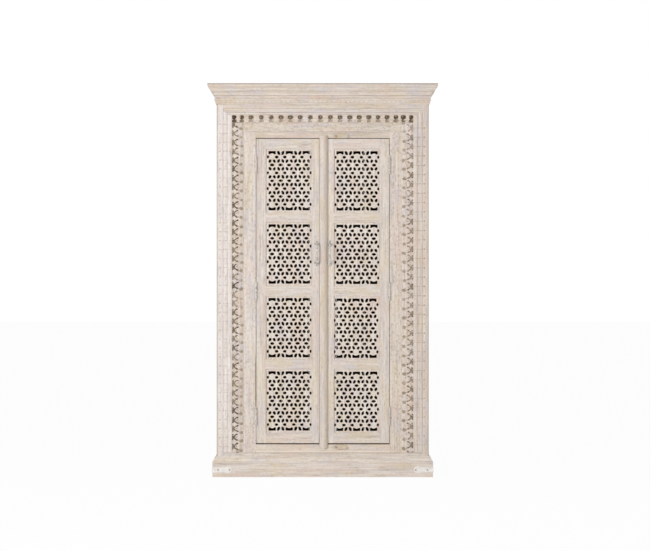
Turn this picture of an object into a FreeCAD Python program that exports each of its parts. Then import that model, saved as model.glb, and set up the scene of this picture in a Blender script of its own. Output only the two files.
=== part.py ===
# Carved wooden cabinet with two pierced doors, built the way a joiner builds it:
# corner posts, rails and panels, a stepped and carved face frame, a planted
# cornice and plinth, two hinged leaves and the small ironmongery.
# Millimetres. +X is to the right, +Z is up and the doors face -Y.
# The origin is on the floor, under the middle of the whole cabinet.

import FreeCAD
import Part
import math
import os

os.makedirs("parts", exist_ok=True)

# Overall sizes
total_height = 2000.0
case_width = 1080.0
total_depth = 450.0
overrun = 5.0                 # how far a cutting body runs past what it cuts

# Clearances
fit_clearance = 0.1           # tenon in mortise, panel in groove, screw in pilot hole
running_clearance = 0.05      # pin in knuckle, pivot screw in button
lap_clearance = 0.6           # moving pieces that lap in front of fixed ones
shelf_clearance = 0.3

# Cornice: how far it stands out, how tall it is, and its outline
cornice_overhang = 45.0
cornice_height = 104.0
cornice_shares = [(0.0, 0.0), (0.07, 0.0), (0.1, 0.15), (0.17, 0.17), (0.19, 0.40), (0.27, 0.43),
                  (0.33, 0.46), (0.84, 0.80), (0.91, 0.81), (1.0, 0.87), (1.0, 1.0), (0.0, 1.0)]

# Plinth: boards and the moulding on top of them
plinth_height = 71.0
plinth_thickness = 21.0
plinth_moulding_height = 34.0
plinth_shares = [(0.0, 0.0), (1.0, 0.0), (0.97, 0.18), (0.72, 0.32), (0.62, 0.52), (0.34, 0.68),
                 (0.24, 0.86), (0.08, 1.0), (0.0, 1.0)]

# Case
post_width = 31.0
frame_cover = 3.0             # how far the front posts and the face frame reach behind the doors
back_post_depth = 40.0
top_board_thickness = 22.0
floor_board_thickness = 20.0
side_rail_thickness = 24.0
side_rail_height = 60.0
side_foot_rail_height = 114.0
side_top_rail_height = 152.0
side_panel_thickness = 10.0
back_rail_thickness = 20.0
back_rail_height = 80.0
back_rail_inset = 2.0
back_plank_thickness = 12.0
back_plank_count = 7
back_plank_gap = 1.0
groove_depth = 8.0
tenon_thickness = 10.0
tenon_length = 22.0
post_tenon_length = 15.0
tenon_shoulder = 12.0
shelf_thickness = 20.0
shelf_setback = 12.0
cleat_size = 20.0

# Face frame, from the posts inward; the front planes step back towards the doors
inset_depth = 17.0            # doors and inner bands lie this far behind the posts
rebate_depth = 32.0           # floor of the rebate that the planted strips lie in
block_strip_width = 23.0
block_strip_top_width = 19.0
block_setback = 3.0
block_notch_width = 2.4
block_notch_depth = 2.0
bead_width = 24.0
bead_top_width = 13.0
bead_setback = 2.0
bead_round_depth = 6.0
carved_width = 59.0
carved_top_width = 41.0
carved_setback = 7.0
carved_floor_depth = 16.0
carving_pitch = 46.5
inner_band_width = 61.5
inner_band_top_width = 45.0
head_band_drop = 20.0         # plain rail that shows between the cornice and the strips
bottom_rail_top = 122.0
bottom_rail_setback = 2.0
sill_height = 41.0
head_strip_height = 31.0
stop_lip_height = 18.0
stop_lip_depth = 14.0
stop_clearance = 0.5

# Pocket and drilled eye of the carving, as shares of the pitch and of the band's width
pocket_outer_share = 0.04
pocket_waist_share = 0.34
pocket_inner_share = 0.70
pocket_outer_half_share = 0.38
pocket_inner_half_share = 0.22
eye_place_share = 0.86
eye_radius_share = 0.10

# Doors
side_gap = 2.5
top_gap = 4.0
bottom_gap = 6.0
meeting_gap = 5.0
joint_line_x = -15.0
door_thickness = 30.0
hinge_stile_width = 48.0
panel_inner = 57.0            # from the cabinet's middle to each panel opening
top_door_rail = 54.0
middle_door_rail = 51.5
bottom_door_rail = 53.5
panel_rows = 4
panel_recess = 7.0
panel_thickness = 12.0

# Pierced pattern: a triangular lattice with a lens between every two neighbours
lattice_pitch = 43.6
lattice_row = 40.3
lens_length = 18.4
lens_width = 11.2
disc_radius = 15.0            # unpierced rounds that shorten the lenses beside them
window_side_margin = 4.0      # plain border between the panel opening and the piercing
window_end_margin = 9.5

# Cover strip on the right leaf
strip_width = 42.0
strip_thickness = 16.0
strip_edge = 6.0
strip_offset = -1.4           # from the joint line to the strip's left edge
strip_overlap_top = 16.0
strip_overlap_bottom = 27.0

# Butt hinges
hinge_height = 88.0
hinge_foot = 138.0            # from the doors' bottom to the lowest hinge's middle
hinge_head = 133.0            # from the highest hinge's middle to the doors' top
hinge_middle_drop = 2.0       # the middle hinge lies this far under the doors' middle
knuckle_radius = 5.0
knuckle_count = 5
knuckle_gap = 0.4
knuckle_standoff = 0.8
pin_radius = 2.0
pin_head_radius = 3.6
pin_head_height = 3.0
leaf_thickness = 2.0
leaf_margin = 4.0             # wood left between a hinge leaf and the back of the door
leaf_screw_count = 3
leaf_screw_edge = 12.0
leaf_screw_share = 0.6        # place of the screws across the leaf's width

# Screws: head radius, head height, shank radius and length
small_screw = (3.4, 1.2, 1.7, 18.0)
strap_screw = (4.6, 1.8, 2.0, 16.0)
button_screw = (6.0, 3.0, 2.5, 24.0)

# Pull handles
handle_height = 1138.0
handle_span = 97.0            # between the feet of the bow
handle_plate_length = 41.0
handle_plate_width = 22.0
handle_plate_thickness = 2.5
handle_projection = 34.0
handle_rod_radius = 4.5
handle_bend_radius = 14.0
handle_boss_radius = 7.5
handle_boss_height = 5.0
handle_screw_inset = 9.0
handle_edge_gap = 1.5         # from the left leaf's edge to the plates of its handle
handle_strip_gap = 0.5        # from the cover strip to the plates of the right handle

# Turn buttons: they point right at rest, and turn down or up over the right leaf
button_width = 20.0
button_thickness = 13.0
button_clearance = 0.3
top_button_x = 69.0
top_button_lift = 8.5         # the pivot's height over the top of the door opening
top_button_length = 70.0
bottom_button_x = 68.0
bottom_button_drop = 13.0     # the pivot's depth under the bottom of the door opening
bottom_button_length = 64.0

# Iron corner straps on the plinth
strap_thickness = 2.0
strap_height = 26.0
strap_reach = 100.0
strap_lobe_radius = 18.0
strap_middle = 37.0
strap_screw_places = (31.0, 90.0)

# Places worked out from the sizes above
case_half = case_width / 2
front_y = cornice_overhang - total_depth / 2
back_y = total_depth / 2
rebate_y = front_y + rebate_depth
door_y = front_y + inset_depth
door_back_y = door_y + door_thickness
frame_back_y = door_back_y + frame_cover
inner_half = case_half - post_width
block_inner = inner_half - block_strip_width
bead_inner = block_inner - bead_width
carved_inner = bead_inner - carved_width
opening_half_width = carved_inner - inner_band_width
cornice_bottom = total_height - cornice_height
carcase_top = total_height - top_board_thickness
strips_top = cornice_bottom - head_band_drop
block_bottom = strips_top - block_strip_top_width
bead_bottom = block_bottom - bead_top_width
carved_bottom = bead_bottom - carved_top_width
band_bottom = carved_bottom - inner_band_top_width
opening_top = band_bottom - head_strip_height
opening_bottom = bottom_rail_top + sill_height
door_top = opening_top - top_gap
door_bottom = opening_bottom + bottom_gap
lap_y = door_y + lap_clearance
plank_y = back_y - back_rail_inset - back_rail_thickness - back_plank_thickness
rail_y = plank_y + back_plank_thickness
plinth_half = case_half + plinth_thickness
plinth_front_y = front_y - plinth_thickness
door_half = opening_half_width - side_gap
panel_outer = door_half - hinge_stile_width
panel_opening_width = panel_outer - panel_inner
panel_opening_height = (door_top - door_bottom - top_door_rail - bottom_door_rail
                        - (panel_rows - 1) * middle_door_rail) / panel_rows
window_width = panel_opening_width - 2 * window_side_margin
window_height = panel_opening_height - 2 * window_end_margin
hinge_x = opening_half_width - side_gap / 2
hinge_y = door_y - knuckle_standoff - knuckle_radius
hinge_centres = (door_bottom + hinge_foot, (door_bottom + door_top) / 2 - hinge_middle_drop,
                 door_top - hinge_head)
leaf_width = door_thickness - leaf_margin
left_edge = joint_line_x - meeting_gap / 2
right_edge = joint_line_x + meeting_gap / 2
meeting_swing = math.hypot(left_edge + hinge_x, door_y - hinge_y)
meeting_bevel = left_edge + hinge_x - math.sqrt(meeting_swing ** 2 - (door_back_y - hinge_y) ** 2)
strip_x = (joint_line_x + strip_offset, joint_line_x + strip_offset + strip_width)
left_handle_x = left_edge - handle_edge_gap - handle_plate_width / 2
right_handle_x = strip_x[1] + handle_strip_gap + handle_plate_width / 2


def vec(x, y, z):
    return FreeCAD.Vector(x, y, z)


def box(x_range, y_range, z_range, grow=0):
    """A block between pairs of places, larger by grow on every side."""
    (x0, x1), (y0, y1), (z0, z1) = x_range, y_range, z_range
    corner = vec(x0 - grow, y0 - grow, z0 - grow)
    return Part.makeBox(x1 - x0 + 2 * grow, y1 - y0 + 2 * grow, z1 - z0 + 2 * grow, corner)


def mirrored(shape):
    """The same piece on the other side of the cabinet's middle plane."""
    return shape.mirror(vec(0, 0, 0), vec(1, 0, 0))


def save(node, *solids):
    """One file per node; like pieces are separate solids in it."""
    shape = solids[0] if len(solids) == 1 else Part.makeCompound(list(solids))
    shape.exportStep(os.path.join("parts", node + ".step"))
    volume = sum(solid.Volume for solid in solids)
    print(f"{node}: {len(shape.Solids)} solids, {volume / 1000:.1f} cm3, valid {shape.isValid()}")


def prism(points, direction):
    """A polygon carried straight along a direction."""
    return Part.Face(Part.makePolygon(points + points[:1])).extrude(direction)


def lens_face(start, end, width):
    """A face between two arcs that meet at start and end."""
    middle = (start + end) * 0.5
    along = (end - start).normalize()
    across = vec(-along.z, 0, along.x) * (width / 2)
    first = Part.Arc(start, middle + across, end).toShape()
    second = Part.Arc(end, middle - across, start).toShape()
    return Part.Face(Part.Wire([first, second]))


def screw(sizes, place, direction, grow=0):
    """A screw: a flat head whose underside is at place, and a shank along direction."""
    head_radius, head_height, shank_radius, length = sizes
    head = Part.makeCylinder(head_radius + grow, head_height, place - direction * head_height, direction)
    shank = Part.makeCylinder(shank_radius + grow, length + grow, place, direction)
    return head.fuse(shank).removeSplitter()


def cut_all(shape, cutters):
    """The shape with a list of bodies taken away."""
    return shape.cut(Part.makeCompound(cutters)) if cutters else shape


# Plinth boards, planted on the outside of the posts

def plinth_boards():
    back_range = (back_y - back_rail_inset - back_rail_thickness, back_y - back_rail_inset)
    front = box((-plinth_half, plinth_half), (plinth_front_y, front_y), (0, plinth_height))
    right = box((case_half, plinth_half), (front_y, back_y), (0, plinth_height))
    back = box((-inner_half, inner_half), back_range, (0, plinth_height))
    return front, right, back


def planted_ring(shares, depth, height, base):
    """A moulding round the front and both sides, mitred at the two front corners."""
    reach_x = case_half + depth
    reach_y = front_y - depth
    zs = [base + z_share * height for _, z_share in shares]
    front_points = [vec(-reach_x, front_y - share * depth, z) for (share, _), z in zip(shares, zs)]
    side_points = [vec(case_half + share * depth, reach_y, z) for (share, _), z in zip(shares, zs)]
    front = prism(front_points, vec(2 * reach_x, 0, 0))
    side = prism(side_points, vec(0, back_y - reach_y, 0))
    front_plan = [vec(-reach_x, reach_y, base), vec(reach_x, reach_y, base),
                  vec(case_half, front_y, base), vec(-case_half, front_y, base)]
    side_plan = [vec(reach_x, reach_y, base), vec(reach_x, back_y, base),
                 vec(case_half, back_y, base), vec(case_half, front_y, base)]
    front = front.common(prism(front_plan, vec(0, 0, height)))
    side = side.common(prism(side_plan, vec(0, 0, height)))
    return front, mirrored(side), side


# Corner straps: a flat band with a lobed end, bent round the plinth's corner

def strap_plate():
    """One wing of the right strap, lying on the plinth's front board."""
    outer_x = plinth_half + strap_thickness
    tip = outer_x - strap_reach
    lobe_x = tip + strap_lobe_radius
    y = plinth_front_y - strap_thickness
    bottom = strap_middle - strap_height / 2
    band = box((lobe_x, outer_x), (y, plinth_front_y), (bottom, bottom + strap_height))
    lobe = Part.makeCylinder(strap_lobe_radius, strap_thickness, vec(lobe_x, y, strap_middle), vec(0, 1, 0))
    return band.fuse(lobe).removeSplitter()


def turned_to_side(shape):
    """A piece on the plinth's front, moved to the same place on its right side."""
    return shape.mirror(vec(plinth_half, plinth_front_y, 0), vec(1, 1, 0).normalize())


def strap_and_screws():
    plate = strap_plate()
    outer_x = plinth_half + strap_thickness
    front_screws = []
    front_holes = []
    for reach in strap_screw_places:
        place = vec(outer_x - reach, plinth_front_y - strap_thickness, strap_middle)
        front_screws.append(screw(strap_screw, place, vec(0, 1, 0)))
        front_holes.append(screw(strap_screw, place, vec(0, 1, 0), fit_clearance))
    screws = front_screws + [turned_to_side(one) for one in front_screws]
    holes = front_holes + [turned_to_side(one) for one in front_holes]
    strap = plate.fuse(turned_to_side(plate)).removeSplitter()
    return cut_all(strap, holes), screws, holes


# Case: posts, rails with tenons, panels in grooves

def side_rail_ranges():
    """Bottom and top of each side rail; the middle ones lie level with the doors' rails."""
    ranges = [(plinth_height, plinth_height + side_foot_rail_height)]
    for row in range(1, panel_rows):
        middle = shelf_level(row) - shelf_thickness
        ranges.append((middle - side_rail_height / 2, middle + side_rail_height / 2))
    ranges.append((carcase_top - side_top_rail_height, carcase_top))
    return ranges


def door_rail_ranges():
    """Bottom and top of each door rail, from the lowest up."""
    ranges = [(door_bottom, door_bottom + bottom_door_rail)]
    while len(ranges) < panel_rows:
        bottom = ranges[-1][1] + panel_opening_height
        ranges.append((bottom, bottom + middle_door_rail))
    ranges.append((door_top - top_door_rail, door_top))
    return ranges


def shelf_level(row):
    """Height of a shelf's top: the shelves lie behind the doors' middle rails."""
    low, high = door_rail_ranges()[row]
    return (low + high) / 2 + shelf_thickness


def side_frame():
    """Rails and panels of the right side, and what they take out of the two posts."""
    rail_x = (inner_half, inner_half + side_rail_thickness)
    rail_ends = (frame_back_y, back_y - back_post_depth)
    middle_x = inner_half + side_rail_thickness / 2
    tenon_x = (middle_x - tenon_thickness / 2, middle_x + tenon_thickness / 2)
    tenon_y = (rail_ends[0] - post_tenon_length, rail_ends[1] + post_tenon_length)
    panel_x = (middle_x - side_panel_thickness / 2, middle_x + side_panel_thickness / 2)
    panel_y = (rail_ends[0] - groove_depth, rail_ends[1] + groove_depth)
    ranges = side_rail_ranges()
    panels = []
    grooves = []
    for (_, below), (above, _) in zip(ranges, ranges[1:]):
        panel_z = (below - groove_depth, above + groove_depth)
        panels.append(box(panel_x, panel_y, panel_z))
        grooves.append(box(panel_x, panel_y, panel_z, fit_clearance))
    rails = []
    mortises = []
    for low, high in ranges:
        tenon_z = (low + tenon_shoulder, high - tenon_shoulder)
        rail = box(rail_x, rail_ends, (low, high)).fuse(box(tenon_x, tenon_y, tenon_z))
        rails.append(cut_all(rail.removeSplitter(), grooves))
        mortises.append(box(tenon_x, tenon_y, tenon_z, fit_clearance))
    return rails, panels, mortises + grooves


def cross_rail(y_range, z_range, tenon_reach):
    """A rail between two posts with a tenon at each end, and the mortises for it."""
    middle_y = (y_range[0] + y_range[1]) / 2
    tenon = ((-inner_half - tenon_reach, inner_half + tenon_reach),
             (middle_y - tenon_thickness / 2, middle_y + tenon_thickness / 2),
             (z_range[0] + tenon_shoulder, z_range[1] - tenon_shoulder))
    rail = box((-inner_half, inner_half), y_range, z_range).fuse(box(*tenon)).removeSplitter()
    return rail, box(*tenon, fit_clearance)


def back_rails():
    """Three rails between the back posts: behind the floor, the middle and the top."""
    y_range = (rail_y, rail_y + back_rail_thickness)
    half = back_rail_height / 2
    foot = plinth_height + half
    top = carcase_top - half
    middle = (foot + top) / 2
    pairs = [cross_rail(y_range, (z - half, z + half), post_tenon_length) for z in (foot, middle, top)]
    return [rail for rail, _ in pairs], [mortise for _, mortise in pairs]


def back_planks():
    """Upright planks nailed to the inside of the back rails."""
    width = (2 * inner_half - (back_plank_count - 1) * back_plank_gap) / back_plank_count
    planks = []
    for index in range(back_plank_count):
        x = -inner_half + index * (width + back_plank_gap)
        planks.append(box((x, x + width), (plank_y, rail_y), (plinth_height, carcase_top)))
    return planks


# Face frame: thick boards with a rebate, and the strips planted in it

def face_stile():
    """Right stile: the flat carved band beside the door, thinner behind the strips."""
    band = box((opening_half_width, carved_inner), (door_y, frame_back_y), (opening_bottom, band_bottom))
    back = box((carved_inner, inner_half), (rebate_y, frame_back_y), (bottom_rail_top, band_bottom))
    return band.fuse(back).removeSplitter()


def face_head():
    """Head board: the flat carved band over the doors, thinner behind the strips."""
    band = box((-carved_inner, carved_inner), (door_y, frame_back_y), (band_bottom, carved_bottom))
    back = box((-inner_half, inner_half), (rebate_y, frame_back_y), (band_bottom, strips_top))
    return band.fuse(back).removeSplitter()


def lipped_board(half_width, z_range, lip_z):
    """A board of the door opening with a lip behind the doors that stops them."""
    board = box((-half_width, half_width), (lap_y, frame_back_y), z_range)
    lip_y = (door_back_y + stop_clearance, door_back_y + stop_clearance + stop_lip_depth)
    lip = box((-opening_half_width, opening_half_width), lip_y, lip_z)
    return board.fuse(lip).removeSplitter()


def notched_bar(length, width, depth):
    """A bar along +Z whose front (-Y) is nicked at every pitch of the carving."""
    count = round(length / carving_pitch)
    pitch = length / count
    points = [vec(0, depth, 0), vec(0, 0, 0)]
    for index in range(1, count):
        z = index * pitch
        points.append(vec(0, 0, z - block_notch_width / 2))
        points.append(vec(0, block_notch_depth, z))
        points.append(vec(0, 0, z + block_notch_width / 2))
    points += [vec(0, 0, length), vec(0, depth, length)]
    return prism(points, vec(width, 0, 0))


def round_bar(length, width, depth):
    """A bar along +Z with a rounded front (-Y)."""
    edge = bead_round_depth
    arc = Part.Arc(vec(0, edge, 0), vec(width / 2, 0, 0), vec(width, edge, 0)).toShape()
    sides = Part.makePolygon([vec(width, edge, 0), vec(width, depth, 0), vec(0, depth, 0), vec(0, edge, 0)])
    return Part.Face(Part.Wire([arc] + sides.Edges)).extrude(vec(0, 0, length))


def carved_bar(length, width, depth):
    """A band along +Z: a row of pockets, open to the front, and a row of drilled eyes.
    x runs from the outer edge to the inner edge, next to the door's band."""
    count = round(length / carving_pitch)
    pitch = length / count
    outline = Part.makePolygon([vec(0, 0, 0), vec(width, 0, 0), vec(width, 0, length), vec(0, 0, length),
                                vec(0, 0, 0)])
    x_outer = pocket_outer_share * width
    x_waist = pocket_waist_share * width
    x_inner = pocket_inner_share * width
    wide = pocket_outer_half_share * pitch
    narrow = pocket_inner_half_share * pitch
    holes = []
    for index in range(count):
        z = (index + 0.5) * pitch
        corners = [vec(x_outer, 0, z - wide), vec(x_waist, 0, z - wide), vec(x_inner, 0, z - narrow),
                   vec(x_inner, 0, z + narrow), vec(x_waist, 0, z + wide), vec(x_outer, 0, z + wide)]
        holes.append(Part.makePolygon(corners + corners[:1]))
        eye = Part.Circle(vec(eye_place_share * width, 0, z), vec(0, 1, 0), eye_radius_share * pitch)
        holes.append(Part.Wire([eye.toShape()]))
    front = Part.Face([outline] + holes, "Part::FaceMakerBullseye").extrude(vec(0, carved_floor_depth, 0))
    floor = box((0, width), (carved_floor_depth, depth), (0, length))
    return front.fuse(floor).removeSplitter()


def upright(bar, x, y, z):
    """A bar on the right side, its outer edge at x and turned so that its x runs inwards."""
    placed = bar.mirror(vec(0, 0, 0), vec(1, 0, 0))
    placed.translate(vec(x, y, z))
    return placed


def lying(bar, length, y, z):
    """The same bar laid along the head, its outer edge up at z."""
    placed = bar.copy()
    placed.rotate(vec(0, 0, 0), vec(0, 1, 0), 90)
    placed.translate(vec(-length / 2, y, z))
    return placed


def planted_strips(make_bar, side_width, top_width, outer, top_z, setback):
    """Left, right and top strip of one kind; the top one runs over the two uprights."""
    y = front_y + setback
    depth = rebate_y - y
    side_length = top_z - top_width - bottom_rail_top
    right = upright(make_bar(side_length, side_width, depth), outer, y, bottom_rail_top)
    top = lying(make_bar(2 * outer, top_width, depth), 2 * outer, y, top_z)
    return mirrored(right), right, top


# Doors

def door_frame(x_low, x_high, opening_low, opening_high):
    """Two stiles and the rails of one leaf, with tenons and panel grooves, and its panels' places."""
    y_range = (door_y, door_back_y)
    middle_y = (door_y + door_back_y) / 2
    tenon_y = (middle_y - tenon_thickness / 2, middle_y + tenon_thickness / 2)
    panel_y = (door_y + panel_recess, door_y + panel_recess + panel_thickness)
    panel_x = (opening_low - groove_depth, opening_high + groove_depth)
    ranges = door_rail_ranges()
    grooves = []
    centres = []
    for (_, below), (above, _) in zip(ranges, ranges[1:]):
        grooves.append(box(panel_x, panel_y, (below - groove_depth, above + groove_depth), fit_clearance))
        centres.append((below + above) / 2)
    rails = []
    mortises = []
    for low, high in ranges:
        tenon = ((opening_low - tenon_length, opening_high + tenon_length), tenon_y,
                 (low + tenon_shoulder, high - tenon_shoulder))
        rail = box((opening_low, opening_high), y_range, (low, high)).fuse(box(*tenon))
        rails.append(cut_all(rail.removeSplitter(), grooves))
        mortises.append(box(*tenon, fit_clearance))
    low_stile = cut_all(box((x_low, opening_low), y_range, (door_bottom, door_top)), mortises + grooves)
    high_stile = cut_all(box((opening_high, x_high), y_range, (door_bottom, door_top)), mortises + grooves)
    return low_stile, high_stile, rails, centres


def is_disc(row, column):
    """In every other row, every other lattice point is an unpierced round."""
    return row % 2 == 1 and column % 2 == 0


def lattice_point(row, column):
    shift = 0 if row % 2 else lattice_pitch / 2
    return vec(column * lattice_pitch + shift, 0, row * lattice_row)


def lattice_holes():
    """A lens between every two neighbouring lattice points, cut off at the window's edge."""
    half_width = window_width / 2
    half_height = window_height / 2
    rows = int(half_height / lattice_row) + 1
    columns = int(half_width / lattice_pitch) + 2
    window = Part.makePlane(window_width, window_height, vec(-half_width, 0, -half_height), vec(0, -1, 0),
                            vec(1, 0, 0))
    holes = []
    for row in range(-rows, rows + 1):
        for column in range(-columns, columns + 1):
            left_above = column if row % 2 == 0 else column - 1
            for other in ((row, column + 1), (row + 1, left_above), (row + 1, left_above + 1)):
                start, end = lens_ends((row, column), other)
                middle = (start + end) * 0.5
                if abs(middle.x) > half_width or abs(middle.z) > half_height:
                    continue
                hole = lens_face(start, end, lens_width)
                reach_x = max(abs(start.x), abs(end.x), abs(middle.x) + lens_width / 2)
                reach_z = max(abs(start.z), abs(end.z), abs(middle.z) + lens_width / 2)
                if reach_x > half_width or reach_z > half_height:
                    hole = hole.common(window).Faces[0]
                holes.append(hole)
    return holes


def lens_ends(first, second):
    """The two tips of the lens between neighbours, drawn back from an unpierced round."""
    start = lattice_point(*first)
    end = lattice_point(*second)
    along = (end - start).normalize()
    spare = ((end - start).Length - lens_length) / 2
    near = disc_radius if is_disc(*first) else spare
    far = disc_radius if is_disc(*second) else spare
    return start + along * near, end - along * far


def pierced_panel():
    """One panel, its middle at the origin and its front at y = 0."""
    half_width = panel_opening_width / 2 + groove_depth
    half_height = panel_opening_height / 2 + groove_depth
    board = box((-half_width, half_width), (0, panel_thickness), (-half_height, half_height))
    depth = vec(0, panel_thickness + 2 * overrun, 0)
    cutters = []
    for hole in lattice_holes():
        cutter = hole.extrude(depth)
        cutter.translate(vec(0, -overrun, 0))
        cutters.append(cutter)
    return board.cut(Part.makeCompound(cutters))


def panels_at(panel, x, centres):
    placed = []
    for z in centres:
        one = panel.copy()
        one.translate(vec(x, door_y + panel_recess, z))
        placed.append(one)
    return placed


def meeting_wedge():
    """What is planed off the left leaf's meeting edge: its back corner then swings no wider than its front one."""
    z = door_bottom - overrun
    corners = [vec(left_edge, door_y, z), vec(left_edge - meeting_bevel, door_back_y, z),
               vec(left_edge, door_back_y, z)]
    return prism(corners, vec(0, 0, door_top - door_bottom + 2 * overrun))


def cover_strip():
    """Rounded strip on the right leaf's meeting edge, with a half-round lower end."""
    x0, x1 = strip_x
    middle = (x0 + x1) / 2
    top = door_top + strip_overlap_top
    bottom = door_bottom - strip_overlap_bottom
    edge_y = door_y - strip_edge
    arc = Part.Arc(vec(x0, edge_y, bottom), vec(middle, door_y - strip_thickness, bottom),
                   vec(x1, edge_y, bottom)).toShape()
    sides = Part.makePolygon([vec(x1, edge_y, bottom), vec(x1, door_y, bottom), vec(x0, door_y, bottom),
                              vec(x0, edge_y, bottom)])
    bar = Part.Face(Part.Wire([arc] + sides.Edges)).extrude(vec(0, 0, top - bottom))
    round_z = bottom + strip_width / 2
    depth = strip_thickness + 2 * overrun
    y = door_y - strip_thickness - overrun
    lower_end = Part.makeCylinder(strip_width / 2, depth, vec(middle, y, round_z), vec(0, 1, 0))
    above = box((x0, x1), (y, y + depth), (round_z, top))
    return bar.common(lower_end.fuse(above)).removeSplitter()


# Hinges on the right side

def knuckles(z_low, first, leaf_x):
    """Every other barrel of one hinge from the first one, each with its tab to the leaf."""
    pitch = hinge_height / knuckle_count
    pieces = []
    for index in range(first, knuckle_count, 2):
        low = z_low + index * pitch + knuckle_gap / 2
        high = low + pitch - knuckle_gap
        pieces.append(Part.makeCylinder(knuckle_radius, high - low, vec(hinge_x, hinge_y, low)))
        pieces.append(box(leaf_x, (hinge_y, door_y + knuckle_standoff), (low, high)))
    return pieces


def hinge_leaf(z_middle, first, edge_x, outward):
    """One leaf with its barrels and countersunk screws; the wood that it and they take."""
    z_low = z_middle - hinge_height / 2
    leaf_x = tuple(sorted((edge_x, edge_x + outward * leaf_thickness)))
    leaf_box = (leaf_x, (door_y, door_y + leaf_width), (z_low, z_low + hinge_height))
    plate = box(*leaf_box)
    for piece in knuckles(z_low, first, leaf_x):
        plate = plate.fuse(piece)
    bore = Part.makeCylinder(pin_radius + running_clearance, hinge_height + 2 * overrun,
                             vec(hinge_x, hinge_y, z_low - overrun))
    direction = vec(outward, 0, 0)
    screws = []
    holes = []
    step = (hinge_height - 2 * leaf_screw_edge) / (leaf_screw_count - 1)
    head_height = small_screw[1]
    for index in range(leaf_screw_count):
        z = z_low + leaf_screw_edge + index * step
        place = vec(edge_x + outward * head_height, door_y + leaf_screw_share * leaf_width, z)
        screws.append(screw(small_screw, place, direction))
        holes.append(screw(small_screw, place, direction, fit_clearance))
    leaf = cut_all(plate, [bore] + holes).removeSplitter()
    return leaf, screws, [box(*leaf_box, fit_clearance)] + holes


def hinge_pin(z_middle):
    z_low = z_middle - hinge_height / 2
    pin = Part.makeCylinder(pin_radius, hinge_height, vec(hinge_x, hinge_y, z_low))
    for z in (z_low - pin_head_height, z_low + hinge_height):
        pin = pin.fuse(Part.makeCylinder(pin_head_radius, pin_head_height, vec(hinge_x, hinge_y, z)))
    return pin.removeSplitter()


def hinge_set():
    """All that the three hinges of the right side are made of."""
    kinds = {"frame_leaves": [], "door_leaves": [], "pins": [], "frame_screws": [], "door_screws": [],
             "frame_cuts": [], "door_cuts": []}
    for z in hinge_centres:
        leaf, screws, cuts = hinge_leaf(z, 0, opening_half_width, 1)
        kinds["frame_leaves"].append(leaf)
        kinds["frame_screws"] += screws
        kinds["frame_cuts"] += cuts
        leaf, screws, cuts = hinge_leaf(z, 1, door_half, -1)
        kinds["door_leaves"].append(leaf)
        kinds["door_screws"] += screws
        kinds["door_cuts"] += cuts
        kinds["pins"].append(hinge_pin(z))
    return kinds


# Pull handles

def pull_handle(x):
    """Two leaf-shaped plates joined by a bow, and its screws and their holes."""
    z_low = handle_height - handle_span / 2
    z_high = handle_height + handle_span / 2
    y_plate = door_y - handle_plate_thickness
    y_out = door_y - handle_projection
    bend = handle_bend_radius
    bend_in = bend * (1 - math.sqrt(0.5))
    path = [
        Part.LineSegment(vec(x, y_plate, z_low), vec(x, y_out + bend, z_low)).toShape(),
        Part.Arc(vec(x, y_out + bend, z_low), vec(x, y_out + bend_in, z_low + bend_in),
                 vec(x, y_out, z_low + bend)).toShape(),
        Part.LineSegment(vec(x, y_out, z_low + bend), vec(x, y_out, z_high - bend)).toShape(),
        Part.Arc(vec(x, y_out, z_high - bend), vec(x, y_out + bend_in, z_high - bend_in),
                 vec(x, y_out + bend, z_high)).toShape(),
        Part.LineSegment(vec(x, y_out + bend, z_high), vec(x, y_plate, z_high)).toShape(),
    ]
    circle = Part.Circle(vec(x, y_plate, z_low), vec(0, 1, 0), handle_rod_radius).toShape()
    handle = Part.Wire(path).makePipeShell([Part.Wire([circle])], True, False)
    screws = []
    holes = []
    for z, outward in ((z_low, -1), (z_high, 1)):
        tip = vec(0, 0, handle_plate_length / 2)
        plate = lens_face(vec(x, y_plate, z) - tip, vec(x, y_plate, z) + tip, handle_plate_width)
        boss = Part.makeCone(handle_boss_radius, handle_rod_radius, handle_boss_height, vec(x, y_plate, z),
                             vec(0, -1, 0))
        handle = handle.fuse(plate.extrude(vec(0, handle_plate_thickness, 0))).fuse(boss)
        place = vec(x, y_plate, z + outward * (handle_plate_length / 2 - handle_screw_inset))
        screws.append(screw(small_screw, place, vec(0, 1, 0)))
        holes.append(screw(small_screw, place, vec(0, 1, 0), fit_clearance))
    return cut_all(handle.removeSplitter(), holes), screws, holes


# Turn buttons

def turn_button(x, z, length):
    """A bar with rounded ends that points right from its pivot, and the screw that it turns on."""
    radius = button_width / 2
    front = door_y - button_clearance - button_thickness
    far_x = x + length - 2 * radius
    bar = box((x, far_x), (front, front + button_thickness), (z - radius, z + radius))
    for end_x in (x, far_x):
        bar = bar.fuse(Part.makeCylinder(radius, button_thickness, vec(end_x, front, z), vec(0, 1, 0)))
    head_radius, head_height, shank_radius, length_in_wood = button_screw
    seat = vec(x, front - running_clearance, z)
    reach = lap_y - seat.y + length_in_wood
    sizes = (head_radius, head_height, shank_radius, reach)
    hole = Part.makeCylinder(shank_radius + running_clearance, reach, vec(x, front - overrun, z),
                             vec(0, 1, 0))
    pilot = screw(sizes, seat, vec(0, 1, 0), fit_clearance)
    return bar.removeSplitter().cut(hole), screw(sizes, seat, vec(0, 1, 0)), pilot


# Build everything and write the files

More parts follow.
